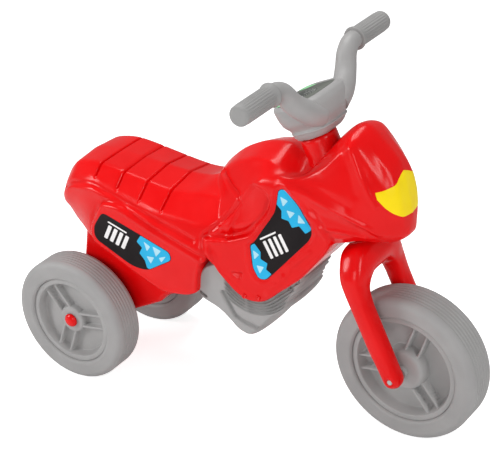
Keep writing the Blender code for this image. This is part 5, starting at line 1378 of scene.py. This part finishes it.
RED = (0.76, 0.0004, 0.0012)
looks = {
    "moulded_red": plastic("red_blow_moulding", RED, 0.20, wave=0.0003, specular=0.24, scuffs=0.03,
                           mottle=0.03),
    "moulded_grey": plastic("grey_moulding", (0.350, 0.343, 0.340), 0.46, wave=0.0005, grain=0.00002),
    "tyre_grey": plastic("grey_tyre", (0.335, 0.328, 0.326), 0.52, wave=0.0004, grain=0.00003, mottle=0.05),
    "grip_grey": plastic("grey_grip", (0.300, 0.296, 0.292), 0.62, wave=0.0003, grain=0.00006),
    "bright_steel": metal("zinc_plated_steel", (0.60, 0.60, 0.58), 0.30),
    "bush_white": plastic("white_bearing", (0.75, 0.74, 0.70), 0.42),
}
prints = {
    "black": plastic("black_film", (0.010, 0.007, 0.008), 0.50, wave=0.0001, specular=0.12, mottle=0.15),
    "cyan": plastic("cyan_ink", (0.0, 0.43, 0.76), 0.34, wave=0.0001),
    "pale": plastic("pale_ink", (0.42, 0.74, 0.86), 0.34, wave=0.0001),
    "white": plastic("white_ink", (0.84, 0.82, 0.82), 0.36, wave=0.0001),
    "yellow": plastic("yellow_film", (1.0, 0.72, 0.0), 0.40, wave=0.0001, specular=0.2, scuffs=0.03),
    "dash": plastic("dark_dash_film", (0.11, 0.12, 0.10), 0.34, wave=0.0001, mottle=0.5),
    "disc": plastic("dial_disc", (0.03, 0.035, 0.03), 0.34, wave=0.0001),
    "marks": plastic("dial_marks", (0.72, 0.74, 0.70), 0.36, wave=0.0001),
    "green": plastic("green_corner", (0.28, 0.70, 0.34), 0.34, wave=0.0001),
}


def paint(piece, material):
    """The material as the only one of the piece."""
    piece.data.materials.clear()
    piece.data.materials.append(material)


for piece, look in ((black_film, "black"), (cyan_film, "cyan"), (pale_film, "pale"), (white_film, "white"),
                    (headlight, "yellow"), (dash_film, "dash"), (dash_disc, "disc"), (dash_marks, "marks"),
                    (dash_corners, "green")):
    paint(piece, prints[look])
    piece["look_done"] = True
for piece in list(bpy.context.scene.objects):
    if piece.type == "MESH" and "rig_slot" in piece and "look_done" not in piece:
        paint(piece, looks[piece["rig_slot"]])
for name, piece in frame["nodes"].items():
    for material_slot in piece.material_slots:
        known = material_slot.material.name.split(".")[0] if material_slot.material else ""
        if known in looks:
            material_slot.material = looks[known]

# %% [markdown]
# ## Floor, backdrop and light
# The toy stands on white paper under soft boxes. The floor receives the shadow, and a little extra white
# is added to what the camera sees of it, so that paper and background meet without an edge.

# %% Floor and world
FLOOR_HALF = 6.0
PAPER_WHITE, CAMERA_LIFT = 0.90, 0.72          # the paper, and the light that only the camera sees of it
FILL = 0.34                                    # strength of the world for other rays
floor_mesh = bpy.data.meshes.new("paper_floor")
floor_mesh.from_pydata([(-FLOOR_HALF, -FLOOR_HALF, 0), (FLOOR_HALF, -FLOOR_HALF, 0),
                        (FLOOR_HALF, FLOOR_HALF, 0),
                        (-FLOOR_HALF, FLOOR_HALF, 0)], [], [(0, 1, 2, 3)])
floor = bpy.data.objects.new("paper_floor", floor_mesh)
bpy.context.scene.collection.objects.link(floor)
paper = bpy.data.materials.new("white_paper")
paper.use_nodes = True
tree = paper.node_tree
rays = node(tree, "ShaderNodeLightPath")
shader = tree.nodes["Principled BSDF"]
shader.inputs["Base Color"].default_value = (PAPER_WHITE, PAPER_WHITE, PAPER_WHITE, 1)
shader.inputs["Roughness"].default_value = 0.9
shader.inputs["Specular IOR Level"].default_value = 0.0
shader.inputs["Emission Color"].default_value = (1, 1, 1, 1)
lift = node(tree, "ShaderNodeMath", {0: rays.outputs["Is Camera Ray"], 1: CAMERA_LIFT}, operation="MULTIPLY")
tree.links.new(lift.outputs[0], shader.inputs["Emission Strength"])
floor_mesh.materials.append(paper)

world = bpy.data.worlds.new("studio")
world.use_nodes = True
bpy.context.scene.world = world
tree = world.node_tree
rays = node(tree, "ShaderNodeLightPath")
seen = node(tree, "ShaderNodeMath", {0: rays.outputs["Is Camera Ray"],
                                     1: rays.outputs["Is Transmission Ray"]},
            operation="MAXIMUM")
level = ranged(tree, seen.outputs[0], 0.0, 1.0, FILL, 1.0)
background = tree.nodes["Background"]
background.inputs["Color"].default_value = (1, 1, 1, 1)
tree.links.new(level, background.inputs["Strength"])


def soft_box(name, place, towards, wide, tall, power):
    """Rectangular lamp that faces a point."""
    lamp = bpy.data.lights.new(name, "AREA")
    lamp.shape, lamp.size, lamp.size_y, lamp.energy = "RECTANGLE", wide, tall, power
    box = bpy.data.objects.new(name, lamp)
    way = Vector(towards) - Vector(place)
    box.matrix_world = Matrix.Translation(place) @ way.to_track_quat("-Z", "Y").to_matrix().to_4x4()
    bpy.context.scene.collection.objects.link(box)
    return box


lamps = [soft_box("overhead_box", (-0.2, 0.3, 1.6), (0, 0, 0.2), 0.9, 0.6, 11),
         soft_box("left_box", (-1.4, -1.2, 1.0), (0, 0, 0.2), 0.5, 0.9, 16),
         soft_box("front_box", (0.7, -1.8, 0.8), (0, 0, 0.2), 0.9, 0.7, 8),
         soft_box("right_strip", (1.6, -0.5, 1.0), (0.1, 0, 0.2), 0.30, 1.2, 9)]

# %% [markdown]
# ## Camera
# The photograph was taken with a long lens from the right and ahead, about 30 degrees above the level of the
# body. Direction and distance are written in the body's own frame and turned with it.

# %% Camera
AZIMUTH, ELEVATION, ROLL = math.radians(33.743), math.radians(30.048), math.radians(-0.367)
DISTANCE = 2.3609
TARGET = Vector((0.19903, 0, 0.23286))
back = Vector((math.sin(AZIMUTH) * math.cos(ELEVATION), -math.cos(AZIMUTH) * math.cos(ELEVATION),
               math.sin(ELEVATION)))
right = Vector((math.cos(AZIMUTH), math.sin(AZIMUTH), 0))
up = back.cross(right)
across_way = right * math.cos(ROLL) + up * math.sin(ROLL)
upward = up * math.cos(ROLL) - right * math.sin(ROLL)
turn = Matrix((across_way, upward, back)).transposed().to_4x4()
lens = bpy.data.cameras.new("camera")
lens.lens, lens.sensor_width = 125.32, 36.0
lens.dof.use_dof = False
camera = bpy.data.objects.new("camera", lens)
camera.matrix_world = BODY @ Matrix.Translation(TARGET + back * DISTANCE) @ turn
bpy.context.scene.collection.objects.link(camera)
bpy.context.scene.camera = camera
bpy.context.scene.view_settings.view_transform = "Standard"

# %% Last update of the scene
bpy.context.view_layer.update()
